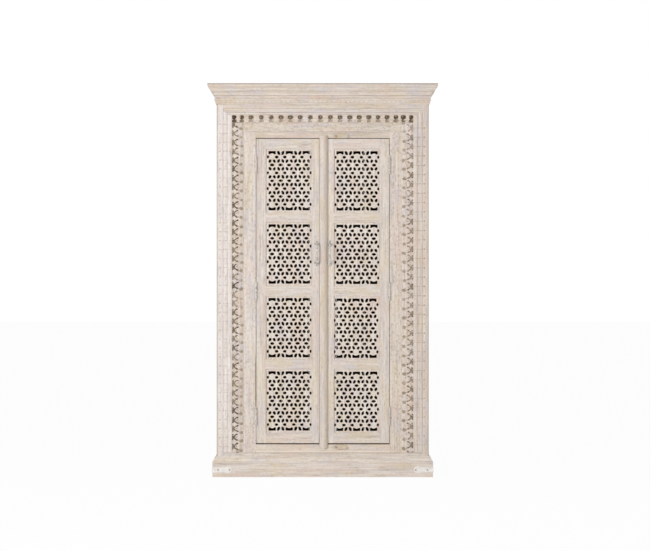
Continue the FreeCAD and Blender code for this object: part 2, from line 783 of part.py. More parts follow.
def build_base():
    front, right, back = plinth_boards()
    strap, screws, holes = strap_and_screws()
    mirrored_holes = [mirrored(hole) for hole in holes]
    save("plinth_front_board", cut_all(front, holes + mirrored_holes))
    save("plinth_right_board", cut_all(right, holes))
    save("plinth_left_board", cut_all(mirrored(right), mirrored_holes))
    save("plinth_back_board", back)
    save("plinth_mouldings", *planted_ring(plinth_shares, plinth_thickness, plinth_moulding_height,
                                           plinth_height))
    save("corner_straps", strap, mirrored(strap))
    save("strap_screws", *screws, *[mirrored(one) for one in screws])


def build_case():
    rails, panels, side_cuts = side_frame()
    backs, back_cuts = back_rails()
    head_y = (front_y, frame_back_y)
    head_rail, head_cut = cross_rail(head_y, (strips_top, carcase_top), post_tenon_length)
    foot_y = (front_y + bottom_rail_setback, frame_back_y)
    foot_rail, foot_cut = cross_rail(foot_y, (plinth_height, bottom_rail_top), post_tenon_length)
    post_x = (inner_half, case_half)
    post_z = (0, carcase_top)
    front_post = cut_all(box(post_x, head_y, post_z), side_cuts + [head_cut, foot_cut])
    back_post = cut_all(box(post_x, (back_y - back_post_depth, back_y), post_z), side_cuts + back_cuts)
    save("right_front_post", front_post)
    save("left_front_post", mirrored(front_post))
    save("right_back_post", back_post)
    save("left_back_post", mirrored(back_post))
    save("side_rails", *rails, *[mirrored(one) for one in rails])
    save("side_panels", *panels, *[mirrored(one) for one in panels])
    save("back_rails", *backs)
    save("back_planks", *back_planks())
    save("head_rail", head_rail)
    save("bottom_rail", foot_rail)
    inner_y = (frame_back_y, plank_y)
    floor_z = (opening_bottom - floor_board_thickness, opening_bottom)
    lip_end_y = door_back_y + stop_clearance + stop_lip_depth
    save("floor_board", box((-inner_half, inner_half), inner_y, floor_z))
    save("top_board", box((-case_half, case_half), (front_y, back_y), (carcase_top, total_height)))
    front, left, right = planted_ring(cornice_shares, cornice_overhang, cornice_height, cornice_bottom)
    save("cornice_front", front)
    save("cornice_left", left)
    save("cornice_right", right)
    shelf_x = (-inner_half + shelf_clearance, inner_half - shelf_clearance)
    shelf_y = (lip_end_y + shelf_setback, plank_y - shelf_clearance)
    cleats = []
    for row, name in enumerate(("lower_shelf", "middle_shelf", "upper_shelf"), start=1):
        top = shelf_level(row)
        save(name, box(shelf_x, shelf_y, (top - shelf_thickness, top)))
        cleat_z = (top - shelf_thickness - cleat_size, top - shelf_thickness)
        cleats.append(box((inner_half - cleat_size, inner_half), shelf_y, cleat_z))
    save("shelf_cleats", *cleats, *[mirrored(one) for one in cleats])


def build_face(hinges, pilots):
    stile = cut_all(face_stile(), hinges["frame_cuts"])
    save("right_face_stile", stile)
    save("left_face_stile", mirrored(stile))
    save("face_head", face_head())
    save("block_strips", *planted_strips(notched_bar, block_strip_width, block_strip_top_width, inner_half,
                                         strips_top, block_setback))
    save("beads", *planted_strips(round_bar, bead_width, bead_top_width, block_inner, block_bottom,
                                  bead_setback))
    left, right, top = planted_strips(carved_bar, carved_width, carved_top_width, bead_inner, bead_bottom,
                                      carved_setback)
    save("left_carved_border", left)
    save("right_carved_border", right)
    save("top_carved_border", top)
    sill = lipped_board(carved_inner, (bottom_rail_top, opening_bottom),
                        (opening_bottom, door_bottom + stop_lip_height))
    head = lipped_board(opening_half_width, (opening_top, band_bottom),
                        (door_top - stop_lip_height, opening_top))
    save("sill_board", cut_all(sill, pilots))
    save("head_strip", cut_all(head, pilots))
    save("frame_hinge_leaves", *hinges["frame_leaves"], *[mirrored(one) for one in hinges["frame_leaves"]])
    save("frame_hinge_screws", *hinges["frame_screws"], *[mirrored(one) for one in hinges["frame_screws"]])
    save("hinge_pins", *hinges["pins"], *[mirrored(one) for one in hinges["pins"]])


def build_doors(hinges):
    panel = pierced_panel()
    middle = (panel_inner + panel_outer) / 2
    for side, x_low, x_high, low, high, handle_x in (
            ("left", -door_half, left_edge, -panel_outer, -panel_inner, left_handle_x),
            ("right", right_edge, door_half, panel_inner, panel_outer, right_handle_x)):
        low_stile, high_stile, rails, centres = door_frame(x_low, x_high, low, high)
        handle, screws, holes = pull_handle(handle_x)
        door_leaves = hinges["door_leaves"]
        door_screws = hinges["door_screws"]
        door_cuts = hinges["door_cuts"]
        hinge_stile, meeting_stile = high_stile, low_stile
        if side == "left":
            hinge_stile, meeting_stile = low_stile, high_stile.cut(meeting_wedge())
            door_leaves = [mirrored(one) for one in door_leaves]
            door_screws = [mirrored(one) for one in door_screws]
            door_cuts = [mirrored(one) for one in door_cuts]
        save(side + "_hinge_stile", cut_all(hinge_stile, door_cuts))
        save(side + "_meeting_stile", cut_all(meeting_stile, holes))
        save(side + "_door_rails", *rails)
        save(side + "_pierced_panels", *panels_at(panel, middle if side == "right" else -middle, centres))
        save(side + "_pull_handle", handle)
        save(side + "_handle_screws", *screws)
        save(side + "_hinge_leaves", *door_leaves)
        save(side + "_hinge_screws", *door_screws)
    save("cover_strip", cover_strip())


def build():
    hinges = hinge_set()
    top_z = opening_top + top_button_lift
    bottom_z = opening_bottom - bottom_button_drop
    top_button, top_screw, top_pilot = turn_button(top_button_x, top_z, top_button_length)
    bottom_button, bottom_screw, bottom_pilot = turn_button(bottom_button_x, bottom_z, bottom_button_length)
    build_base()
    build_case()
    build_face(hinges, [top_pilot, bottom_pilot])
    build_doors(hinges)
    save("top_turn_button", top_button)
    save("bottom_turn_button", bottom_button)
    save("button_screws", top_screw, bottom_screw)


build()
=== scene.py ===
# %% [markdown]
# # A tall whitewashed cabinet with pierced doors
# The real cabinet is old hardwood, carved by hand and brushed over with thin white lime wash. Its flat boards
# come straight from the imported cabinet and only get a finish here. Everything a chisel shaped (the borders, the
# pierced panels, the mouldings) is modelled again as surfaces worked out with numpy, because a carved surface
# is a height over two directions, and that is quickest to write as one formula on a grid.

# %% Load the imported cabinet
import math

import bpy
import numpy as np
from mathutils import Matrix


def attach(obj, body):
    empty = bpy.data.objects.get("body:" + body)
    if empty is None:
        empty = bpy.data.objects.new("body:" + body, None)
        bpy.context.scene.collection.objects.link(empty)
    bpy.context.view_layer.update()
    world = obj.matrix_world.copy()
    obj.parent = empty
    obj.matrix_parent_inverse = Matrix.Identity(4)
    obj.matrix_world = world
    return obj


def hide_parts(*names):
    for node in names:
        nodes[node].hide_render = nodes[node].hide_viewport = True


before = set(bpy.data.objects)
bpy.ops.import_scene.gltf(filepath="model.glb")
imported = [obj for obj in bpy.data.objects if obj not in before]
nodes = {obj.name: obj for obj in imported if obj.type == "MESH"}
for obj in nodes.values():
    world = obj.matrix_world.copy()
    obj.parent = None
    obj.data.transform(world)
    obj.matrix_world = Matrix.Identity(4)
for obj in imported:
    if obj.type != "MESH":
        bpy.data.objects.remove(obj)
scene = bpy.context.scene
MM = 0.001  # the cabinet is drawn in millimetres below, and Blender holds metres
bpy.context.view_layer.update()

# %% [markdown]
# ## From arrays to a piece
# A piece arrives as points in millimetres, lists of corner numbers, and for each point how dark it is painted,
# from 0 to 1, which in the carving grows with the depth of the cut: bare wood left in cuts, and painted shade in
# cuts, gaps and quirks. The volume inside tells whether the faces point outwards: a negative volume means that
# every face is turned, so all are reversed at once.


# %% Helper: a mesh from arrays, riding on its body
def volume(points, faces):
    """Sum over all faces of the tetrahedra from the origin to a fan of each face's corners."""
    total = 0.0
    for group in faces:
        first = points[group[:, 0]]
        for k in range(1, group.shape[1] - 1):
            total += np.einsum("ij,ij->i", first, np.cross(points[group[:, k]], points[group[:, k + 1]])).sum() / 6
    return total


def outward(shape):
    """The same closed shape with its faces pointing outwards."""
    points, faces, hollow = shape
    return points, faces if volume(points, faces) > 0 else [group[:, ::-1] for group in faces], hollow


def patches(g, closed=False):
    """The faces between neighbours in a grid of corner numbers. closed joins the last column to the first."""
    if closed:
        g = np.concatenate([g, g[..., :1]], -1)
    return np.stack([g[..., :-1, :-1], g[..., 1:, :-1], g[..., 1:, 1:], g[..., :-1, 1:]], -1).reshape(-1, 4)


def gather(parts):
    """Puts several (points, faces, hollow) into one, moving each part's corner numbers past the last part's."""
    counts = np.cumsum([0] + [len(p[0]) for p in parts])
    faces = [group + start for part, start in zip(parts, counts) for group in part[1]]
    return np.concatenate([p[0] for p in parts]), faces, np.concatenate([p[2] for p in parts])


def by_part(parts, numbers):
    """Gives all faces of each part one number, such as that of its finish."""
    return np.repeat(numbers, [sum(len(group) for group in part[1]) for part in parts])


def make_piece(name, shape, body, replaced, finishes, finish_of=None, sharp=32):
    """A closed mesh from (points in mm, faces, hollow). finish_of numbers each face's finish, and edges that
    bend by more than sharp degrees stay crisp."""
    points, faces, hollow = outward(shape)
    sizes = np.concatenate([np.full(len(group), group.shape[1]) for group in faces])
    corners = np.concatenate([group.ravel() for group in faces])
    mesh = bpy.data.meshes.new(name)
    mesh.vertices.add(len(points))
    mesh.vertices.foreach_set("co", (points * MM).astype(np.float32).ravel())
    mesh.loops.add(len(corners))
    mesh.loops.foreach_set("vertex_index", corners.astype(np.int32))
    mesh.polygons.add(len(sizes))
    mesh.polygons.foreach_set("loop_start", (np.cumsum(sizes) - sizes).astype(np.int32))
    for made in finishes:
        mesh.materials.append(made)
    if finish_of is not None:
        mesh.polygons.foreach_set("material_index", finish_of.astype(np.int32))
    mesh.update(calc_edges=True)
    mesh.validate()
    mesh.shade_smooth()
    mesh.set_sharp_from_angle(angle=math.radians(sharp))
    mesh.attributes.new("hollow", "FLOAT", "POINT").data.foreach_set("value", hollow.astype(np.float32))
    piece = bpy.data.objects.new(name, mesh)
    scene.collection.objects.link(piece)
    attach(piece, body)
    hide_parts(*replaced)
    triangles = int((sizes - 2).sum())
    print(f"{name}: {len(points)} points, {triangles} triangles, {volume(points, faces) / 1e6:.2f} litres")


# %% Helper: one node of a material
def srgb(code):
    """An sRGB colour such as e3dad0 turned to the linear colour that Blender mixes with."""
    part = np.array([int(code[i : i + 2], 16) for i in (0, 2, 4)]) / 255
    linear = np.where(part <= 0.04045, part / 12.92, ((part + 0.055) / 1.055) ** 2.4)
    return (*linear, 1.0)


def add(tree, kind, sockets=None, **settings):
    """Adds a node. settings are its properties; sockets are values or other nodes' outputs for its inputs."""
    node = tree.nodes.new(kind)
    for key, value in settings.items():
        setattr(node, key, value)
    for key, value in (sockets or {}).items():
        if isinstance(value, bpy.types.NodeSocket):
            tree.links.new(value, node.inputs[key])
        else:
            node.inputs[key].default_value = value
    return node


# %% [markdown]
# ## Finishes in layers
# Lime wash, oil and old paint all look like thin layers over one another, each worn through in places. So a
# finish here is a ground colour and a list of layers. Each layer is noise whose cells are stretched along the
# grain; where the noise is high the layer's colour covers what lies under it. A second kind of layer follows
# an attribute named hollow, which every carved piece carries: how dark a point is painted, for the bare wood left
# in cuts and for painted shade. A third kind, a tone, grows along one direction of the cabinet: painted shadow and
# shade along one edge of a board, and on the sill a painted highlight.


# %% Helper: a finish from its layers
def finish(
    name, along, shift, ground, layers, deep=(), tones=(), bump=(0.35, 0.0012), rough=(0.62, 0.88), metallic=0.0
):
    """layers: (mm across the grain, mm along it, detail, from, to, cover, colour): the cover grows from 0 to its
    full value while the noise goes from one value to the other. deep: (from, to, cover, colour) over hollow.
    tones: (axis, from mm, to mm, cover, colour), a colour that grows along one direction of the cabinet.
    The first two layers' noise also gives the bump, (strength, metres), and the last one's the roughness."""
    material = bpy.data.materials.new(name)
    material.use_nodes = True
    tree = material.node_tree
    shader = tree.nodes["Principled BSDF"]
    place = add(tree, "ShaderNodeTexCoord").outputs["Object"]
    noises, masks = [], []
    for across, length, detail, *mask in layers:
        scale = [1 / (across * MM)] * 3
        scale["xyz".index(along)] = 1 / (length * MM)
        where = add(tree, "ShaderNodeMapping", {"Vector": place, "Scale": scale, "Location": shift}).outputs[0]
        cells = {"Vector": where, "Scale": 1.0, "Detail": detail, "Roughness": 0.6}
        noises.append(add(tree, "ShaderNodeTexNoise", cells).outputs["Fac"])
        masks.append((noises[-1], "SMOOTHSTEP", *mask))
    if deep:
        hollow = add(tree, "ShaderNodeAttribute", attribute_name="hollow").outputs["Fac"]
        masks += [(hollow, "SMOOTHSTEP", *mask) for mask in deep]
    if tones:
        split = add(tree, "ShaderNodeSeparateXYZ", {0: place}).outputs
        masks += [(split[axis], "LINEAR", low * MM, high * MM, *mask) for axis, low, high, *mask in tones]
    colour = srgb(ground)
    for value, ease, low, high, cover, code in masks:
        growth = {"Value": value, "From Min": low, "From Max": high, "To Max": cover}
        amount = add(tree, "ShaderNodeMapRange", growth, interpolation_type=ease).outputs[0]
        colour = add(tree, "ShaderNodeMix", {0: amount, 6: colour, 7: srgb(code)}, data_type="RGBA").outputs[2]
    tree.links.new(colour, shader.inputs["Base Color"])
    both = add(tree, "ShaderNodeMath", {0: noises[0], 1: noises[1]}, operation="ADD").outputs[0]
    relief = add(tree, "ShaderNodeBump", {"Height": both, "Strength": bump[0], "Distance": bump[1]})
    tree.links.new(relief.outputs["Normal"], shader.inputs["Normal"])
    dull = add(tree, "ShaderNodeMapRange", {"Value": noises[-1], "To Min": rough[0], "To Max": rough[1]})
    tree.links.new(dull.outputs[0], shader.inputs["Roughness"])
    shader.inputs["Metallic"].default_value = metallic
    return material


# %% [markdown]
# ## Lime-washed hardwood
# The wash is thin lime with a little pigment, brushed on along the grain and rubbed back. It stays white in the
# open grain and goes thin on ridges, so the eye sees long streaks: white, pinkish grey and tan, with a few fine
# dark pores. Real pores are under half a millimetre wide and would vanish in the picture, so they are drawn
# 3 mm apart. In deep cuts the brush left the wood brown, and the deepest spots are painted nearly black, which
# is painted shade.

# %% Finish: lime-washed wood
WASH = {
    "lime": "e6ddd4", "cool": "cabdb3", "warm": "d9c9ae", "pink": "dcc7bc", "lilac": "cdc6ca", "bare": "a78b6c",
    "thin": 0.45, "speck": 0.28,
}
# Colours over hollow: the brown of wood left bare in cuts, then darker brown and near black for the deeper spots, which
# is painted shade.
CUTS = ((0.02, 0.40, 0.92, "a3937f"), (0.36, 0.74, 0.85, "716453"), (0.72, 1.0, 0.92, "2b2118"))


def limed_wood(name, along, shift, tones=(), **changes):
    """Lime wash over hardwood, grain along an axis, the pattern moved by shift so that no two boards are alike.
    changes replace entries of WASH: colours, how much bare wood shows (thin), and how blotchy it is (speck)."""
    wash = {**WASH, **changes}
    layers = [
        (7, 300, 4, 0.34, 0.60, 0.80, wash["lime"]),
        (3.2, 70, 2, 0.55, 0.71, 0.48, "857160"),
        (50, 240, 3, 0.44, 0.64, 0.70, wash["warm"]),
        (60, 190, 3, 0.47, 0.64, 0.62, wash["pink"]),
        (48, 130, 3, 0.50, 0.66, 0.56, wash["lilac"]),
        (13, 150, 4, 0.46, 0.64, 0.62, wash["lime"]),
        (10, 14, 4, 0.48, 0.70, wash["speck"], "a8978a"),
        (9, 170, 4, 0.56, 0.70, 0.45, "efe8df"),
        (20, 80, 5, 0.57, 0.77, wash["thin"], wash["bare"]),
    ]
    return finish(name, along, shift, wash["cool"], layers, CUTS, tones)


# %% Finish: the oiled inside, white iron and screws
# The inside is dark oiled wood, painted darker still so that it reads nearly black through the holes: partly painted
# shade of the closed cabinet's inside.
def oiled_wood(name, along, shift):
    """Hardwood oiled dark and never limed: brown, with long darker streaks and a low sheen."""
    layers = [
        (9, 380, 4, 0.35, 0.62, 1.0, "4a3423"),
        (3, 60, 2, 0.5, 0.7, 0.5, "1b1008"),
        (60, 500, 3, 0.45, 0.7, 0.7, "332215"),
    ]
    return finish(name, along, shift, "2a1b11", layers, rough=(0.5, 0.7))


def painted_iron(name, chips, thin, thick):
    """Hand-forged iron brushed white: chalky paint with soft hammer marks, chipped to dark iron in small spots.
    chips is how much of a chip is bare; thin and thick are the paint's colours."""
    layers = [
        (9, 9, 2, 0.35, 0.7, 0.9, thick),
        (6, 8, 4, 0.55, 0.63, chips, "4f4a47"),
        (16, 16, 3, 0.5, 0.7, 0.6 * chips, "a39c95"),
    ]
    return finish(name, "z", (3, 1, 2), thin, layers, bump=(0.5, 0.0012), rough=(0.55, 0.75))


def dulled_steel(name, ground, trace):
    """Turned steel screws gone dull. trace is the colour of the wash or grime left on them."""
    layers = [(4, 4, 3, 0.45, 0.62, 0.9, trace), (2, 2, 2, 0.5, 0.7, 0.4, "7c746b")]
    return finish(name, "z", (5, 2, 4), ground, layers, bump=(0.2, 0.0004), rough=(0.5, 0.7), metallic=0.6)


# %% [markdown]
# ## Boards with a carved face
# A carved board is a flat board whose front is a height over a fine grid: the deeper the chisel went, the
# further back the point lies. The two long edges and the back are plain, and the ends are single faces. Places
# across are kept as a column and heights as a row, so that a formula over both fills the whole grid.


# %% Helper: a board with a carved front
def carved_board(x, z, front, back, hollow):
    """Grid over x, a column of places, and z, a row of them, with front as the depth y of the face, closed by a
    flat back at y = back. x may also be given for every point, where an edge of the board isn't straight."""
    n, m = len(x), len(z)
    wide, front, up, hollow = (np.broadcast_to(values, (n, m)) for values in (x, front, z, hollow))
    face = np.stack([wide, front, up], -1).reshape(-1, 3)
    grid = np.arange(n * m).reshape(n, m)
    # The walls follow the longer direction. Where that is x, their corners go round the other way.
    g, turn = (grid, 1) if m >= n else (grid.T, -1)
    rear = face[[*g[0], *g[-1]]] * (1, 0, 1) + (0, back, 0)
    low, high = n * m + np.arange(len(rear)).reshape(2, -1)
    closing = [patches(np.stack(rows)) for rows in ((low, g[0]), (g[-1], high), (high, low))]
    closing += [np.array([[*g[::-1, 0], low[0], high[0]]]), np.array([[*g[:, -1], high[-1], low[-1]]])]
    faces = [patches(grid)] + [group[:, ::turn] for group in closing]
    return np.concatenate([face, rear]), faces, np.concatenate([hollow.ravel(), np.zeros(len(rear))])


def steps(low, high, size):
    """Evenly spaced places from low to high, at most size apart."""
    return np.linspace(low, high, max(2, math.ceil((high - low) / size) + 1))


def soft(inside, blur):
    """0 outside a shape, 1 inside, with a wall blur wide. inside is the distance in mm to the shape's edge,
    positive within."""
    share = np.clip(inside / blur + 0.5, 0, 1)
    return share * share * (3 - 2 * share)


def most(*values):
    """The largest of several values at each point of the grid."""
    return np.max(np.broadcast_arrays(*values), axis=0)


def v_cut(away, half):
    """1 where away is 0, falling in a straight line to 0 at half mm from there: how deep a V tool cuts."""
    return np.clip(1 - np.abs(away) / half, 0, 1)


# %% Places on the front of the cabinet, in mm
# From the middle outwards: the opening for the doors, then the outer edges of flat band, border, bead, strip, post.
OPENING, FLAT, BORDER, BEAD, STRIP, POST = 341.5, 403.0, 462.0, 486.0, 509.0, 540.0
# Upwards: the foot of all upright parts, the opening's top, then the upper edges of the same parts over the doors.
FOOT, HEAD, FLAT_TOP, BORDER_TOP, BEAD_TOP, STRIP_TOP = 122.0, 1758.0, 1803.0, 1844.0, 1857.0, 1876.0
# Backwards (the doors face -y): posts, carved borders, flat bands, the rebate behind the strips, the boards' back.
POST_Y, BORDER_Y, FLAT_Y, REBATE_Y, BACK_Y = -180.0, -173.0, -163.0, -148.0, -130.0
SIGN = {"left": -1, "right": 1}
print("front:", 2 * POST, "mm wide, opening", 2 * OPENING, "mm")

# %% [markdown]
# ## The deep carved borders
# The two upright borders repeat one motif 36 times, and it reads as a letter K: a dark pocket at the outer edge
# with two light buds left in it, a waist leading inwards, a short arm up and a long arm down, each with an oval
# tip. The lower arm runs on to a drilled eye near the inner edge. The border over the doors is narrower: a dark
# pocket with a light curl in it, and a neck down to a wider and shallower bell. Each motif was cut by eye, so
# places, sizes and angles differ a little. Every stroke of a chisel is written as a distance from a line or an
# oval, because such distances can be softened, mixed and moved for all motifs at once.

# %% Chisel shapes
rng = np.random.default_rng(1736)
MIDDLE = {"left": 974.5, "right": 969.0}  # mm: height of one motif near the middle of each upright border
PITCH = {"left": 45.62, "right": 47.55}  # mm from one motif to the next
DEEPEST = 13.0  # mm: how deep the darkest pockets go
LINE_DEEP, LINE_SHADE = 1.3, 0.085  # mm: depth of the fine lines between the pockets, and how dark they are painted, for grime and painted shade


def from_motif(z, side, lift=0.0):
    """Distance of each height from the middle of the nearest motif, or from a place lift mm below it."""
    pitch = PITCH[side]
    return (z - MIDDLE[side] + lift + pitch / 2) % pitch - pitch / 2


def capsule(u, w, u0, w0, u1, w1, thick0, thick1):
    """Distance inside a stroke from (u0, w0) to (u1, w1) whose half thickness goes from thick0 to thick1."""
    du, dw = u1 - u0, w1 - w0
    t = np.clip(((u - u0) * du + (w - w0) * dw) / (du * du + dw * dw), 0, 1)
    return thick0 + (thick1 - thick0) * t - np.hypot(u - u0 - t * du, w - w0 - t * dw)


def oval(u, w, u0, w0, long, short, tilt):
    """Roughly the distance inside an oval at (u0, w0): its long half axis is turned by tilt from the u direction."""
    p = (u - u0) * np.cos(tilt) + (w - w0) * np.sin(tilt)
    q = (w - w0) * np.cos(tilt) - (u - u0) * np.sin(tilt)
    return (1 - np.hypot(p / long, q / short)) * np.minimum(long, short)


def by_height(z, low_and_high, top=1000):
    """Goes evenly from one value 130 mm above the floor to another at the height top, and stays the same beyond."""
    return np.interp(z, [130, top], low_and_high)


def jitter(k, spread):
    """For each motif number in k its own small change, drawn once per motif."""
    return rng.normal(0, spread, k.max() + 1)[k]


def falling(u, start, end):
    """A border's inner edge is rounded down towards the flat band beside it: 7.5 mm, as a quarter of a cosine."""
    return 7.5 * (1 - np.cos(np.clip((u - start) / (end - start), 0, 1) * np.pi / 2))


def border_board(x, z, flat, shade, lines):
    """The pockets cut DEEPEST times their shade into the flat face, and the fine lines only where no pocket is.
    Nothing cuts deeper than 2 mm before the board's back."""
    front = flat + DEEPEST * shade + LINE_DEEP * lines * (shade < 0.15)
    return carved_board(x, z, np.minimum(front, REBATE_Y - 2), REBATE_Y, np.maximum(shade, LINE_SHADE * lines))


# %% The two upright borders
# Each stroke's depth as a share of DEEPEST on the left and on the right, and how wide its soft wall is in mm.
STROKES = {
    "pocket": (0.53, 0.58, 3.8), "waist": (0.56, 0.56, 4.0), "up arm": (0.50, 0.42, 3.4), "up tip": (0.70, 0.58, 3.4),
    "down arm": (0.52, 0.46, 3.4), "down tip": (0.64, 0.56, 3.4), "tail": (0.26, 0.26, 3.2), "eye": (0.33, 0.48, 6.0),
    "nick": (0.26, 0.26, 2.0),
}
STROKE_STRENGTH = {"left": (1.26, 0.92), "right": (0.90, 0.78)}  # how strong all strokes are, in depth and in painted darkness, near the foot and near the top


def upright_border(side):
    """Depth over (u, w): u is measured from the outer edge inwards, w from the middle of the nearest motif
    upwards. Every shape is a distance, softened to a wall, and the deepest shape at a point wins."""
    pitch = PITCH[side]
    z = steps(FOOT, FLAT_TOP, 1.5)
    x = np.sort(steps(FLAT, BORDER, 1.45) * SIGN[side])[:, None]
    number = np.round((z - MIDDLE[side] + 4.5) / pitch).astype(int)
    k = number - number.min()
    u = BORDER - np.abs(x)
    w = z - MIDDLE[side] - number * pitch - jitter(k, 1.1)
    size = 1 + jitter(k, 0.10)
    pocket = capsule(u, w, 3.4, -10.5, 4.6 + jitter(k, 0.8), 11, 4.6 * size, 3.6 * size)
    bud = 3.4 - np.hypot(u - 4.4 - jitter(k, 0.7), w - 5.0 - jitter(k, 1.8))
    seed = 2.6 - np.hypot(u - 4.6 - jitter(k, 0.7), w + 7.5 + jitter(k, 1.6))
    waist = capsule(u, w, 7, 1, 13, -1 + jitter(k, 1.5), 4.2 * size, 2.6)
    up_u, up_w = 25 + jitter(k, 1.8), 15 + jitter(k, 1.4)
    down_u, down_w = 24 + jitter(k, 1.6), -15 + jitter(k, 1.3)
    eye_u, eye_w = 47.5 + jitter(k, 1.6), -20.2 + jitter(k, 0.9)
    shapes = {
        "pocket": pocket,
        "waist": waist,
        "up arm": capsule(u, w, 9, 3, up_u, up_w, 2.6 * size, 1.8),
        "up tip": oval(u, w, up_u + 1.5, up_w, 5.2, 3.4, 0.4),
        "down arm": capsule(u, w, 9, -5, down_u, down_w, 2.9 * size, 2.0),
        "down tip": oval(u, w, down_u + 1.0, down_w, 5.0, 3.2, -0.5),
        "tail": capsule(u, w, down_u, down_w, 42, -20, 1.9, 1.6),
        "eye": oval(u, w, eye_u, eye_w, 9.2 * size, 7.6, 0.3 + jitter(k, 0.4)),
        "nick": oval(u, w, 24 + jitter(k, 2.0), 1.0 + jitter(k, 2.0), 4.2, 1.3, 0.4 + jitter(k, 0.6)),
    }
    cut = {name: STROKES[name][side == "right"] * soft(shape, STROKES[name][2]) for name, shape in shapes.items()}
    cut["pocket"] = cut["pocket"] * (1 - 0.8 * soft(np.maximum(bud, seed), 2.6))
    sharper = np.clip(1 + jitter(k, 0.15), 0.65, 1.3) * by_height(z, STROKE_STRENGTH[side], 1800)
    strokes = most(*cut.values()) * sharper
    petal = np.hypot((u - 31) / 1.35, w + 1)
    vein = np.abs(oval(u, w, 40, 0, 13, 8, 0.2)) - 0.2
    rim = np.abs(np.hypot(u - eye_u, w - eye_w) - 12.0)
    petal_line = soft(0.8 - np.abs(petal - 10.5), 1.8) * (u > 17)
    lines = most(petal_line, soft(0.5 - vein, 1.6) * 0.7, soft(0.8 - rim, 1.8) * 0.8)
    swell = 2.2 * soft(13 - petal, 12) + 1.8 * soft(9 - np.hypot(u - 14, np.abs(w - 1.5) - pitch / 2), 8)
    flat = BORDER_Y + np.where(u > 1.5, 2.2 - swell * (strokes < 0.2), 0.0).clip(0) + falling(u, 39.0, 59.0)
    return border_board(x, z, flat, strokes, lines)


# %% The border over the doors
# Its twenty motifs stand about 50 mm apart and closer at the ends, where the carver had to make them fit.
TOP_X = np.array([
    -452, -412, -365, -312, -262, -212, -164, -114, -63, -11, 40, 89, 139, 187, 236, 283, 329, 374, 412, 452.0,
])


def nearest_top(x):
    """For each place in a column the number of the nearest motif over the doors."""
    return np.abs(x - TOP_X).argmin(1)[:, None]


def squarish(w, u, wide, tall, power):
    """Roughly the distance inside a rounded rectangle of half size wide by tall: |w|^power + |u|^power = 1."""
    return (1 - ((np.abs(w) / wide) ** power + (np.abs(u) / tall) ** power) ** (1 / power)) * tall


def top_border():
    """Depth over (u, w): u down from the upper edge, w along the border from the middle of the nearest motif. The
    motifs near both ends are cut deeper than those in the middle."""
    x = steps(-BORDER, BORDER, 1.45)[:, None]
    z = steps(FLAT_TOP, BORDER_TOP, 1.4)
    k = nearest_top(x)
    u, w = BORDER_TOP - z, x - TOP_X[k]
    size = 1 + jitter(k, 0.07)
    ends = np.interp(np.arange(len(TOP_X)), [0, 1, 2, 12, 16, 18, 19], [1, 0.55, 0.05, 0.1, 0.3, 0.6, 0.85])[k]
    upper = squarish(w, u - 11.4, 11.4 * size, 9.0, 3.2)
    curl = 3.4 - np.hypot((w + 3.6 - jitter(k, 2.4)) * 0.8, u - 10.5 - jitter(k, 2.4))
    nib = 2.2 - np.hypot(w - 6.5 - jitter(k, 2.0), (u - 17.5 - jitter(k, 1.5)) * 0.8)
    neck = capsule(w, u, 1.0, 14, -1 + jitter(k, 2.0), 30, 6.0 * size, 5.0)
    bell = squarish(w, u - 31.0, 11.6 + jitter(k, 1.4), 6.8, 2.6)
    tongue = 3.0 - np.hypot((w - 3.0 - jitter(k, 2.4)) * 0.8, u - 30 - jitter(k, 1.2))
    shade = most(
        (0.78 + 0.22 * ends) * soft(upper, 4.6) * (1 - 0.72 * soft(np.maximum(curl, nib), 3.0)),
        (0.36 + 0.50 * ends) * soft(neck, 4.2),
        (0.33 + 0.57 * ends) * soft(bell, 4.6) * (1 - 0.75 * soft(tongue, 3.0)),
    )
    lines = soft(0.9 - np.abs(np.hypot(w, (u - 30) * 1.2) - 18), 2.0) * (shade < 0.1)
    return border_board(x, z, BORDER_Y + falling(u, 34.0, 41.0), shade, lines)


CARVED = {"lime": "e8ddd2", "cool": "cabcaf", "warm": "d5c4ad", "thin": 0.5, "speck": 0.6}
for side, along, shift in (("left", "z", 1), ("right", "z", 4), ("top", "x", 7)):
    wood = limed_wood(f"limed_carving_{side}", along, (shift, 2, 5), **CARVED)
    shape = top_border() if side == "top" else upright_border(side)
    make_piece(f"{side}_carved_border_face", shape, "case", [f"{side}_carved_border"], [wood], sharp=50)

# %% [markdown]
# ## Block strips, beads and front posts
# Outside the deep border runs a half-round bead and then a flat strip, both crossed by a shallow saw cut at each
# motif, so that they read as rows of blocks. Each front post has a row of long, barely raised pearls with a
# punched dot and a level line between two of them, and a line scratched along it. The wash has worn off its
# outer arris. Cuts, dots and lines are painted dark for grime and painted shade, and low down, above all on the
# right side, they are painted lighter.

# %% Strips with saw cuts
def upright_strip(side, inner, outer, crown, edge, top, power, dirt_and_shade):
    """Across the strip the face falls from crown to edge as |s| to a power; along it there are saw cuts. The last
    argument says how dark the cuts are painted low down and from 1 m upwards, for grime and painted shade."""
    x = np.sort(SIGN[side] * steps(inner, outer, 2.2))[:, None]
    z = steps(FOOT, top, 1.6)
    s = (np.abs(x) - (inner + outer) / 2) / ((outer - inner) / 2)
    face = crown + (edge - crown) * np.abs(s) ** power
    away = from_motif(z, side)
    cut = v_cut(away, 2.6) * (z < FLAT_TOP)
    dot = v_cut(away, 4.5) * v_cut(np.abs(x) - 491.5, 4) * (z < FLAT_TOP)
    shade = np.maximum(by_height(z, dirt_and_shade) * cut, (0.34 if side == "left" else 0.50) * dot)
    return carved_board(x, z, face + 1.2 * cut + 2.0 * dot, REBATE_Y, shade)


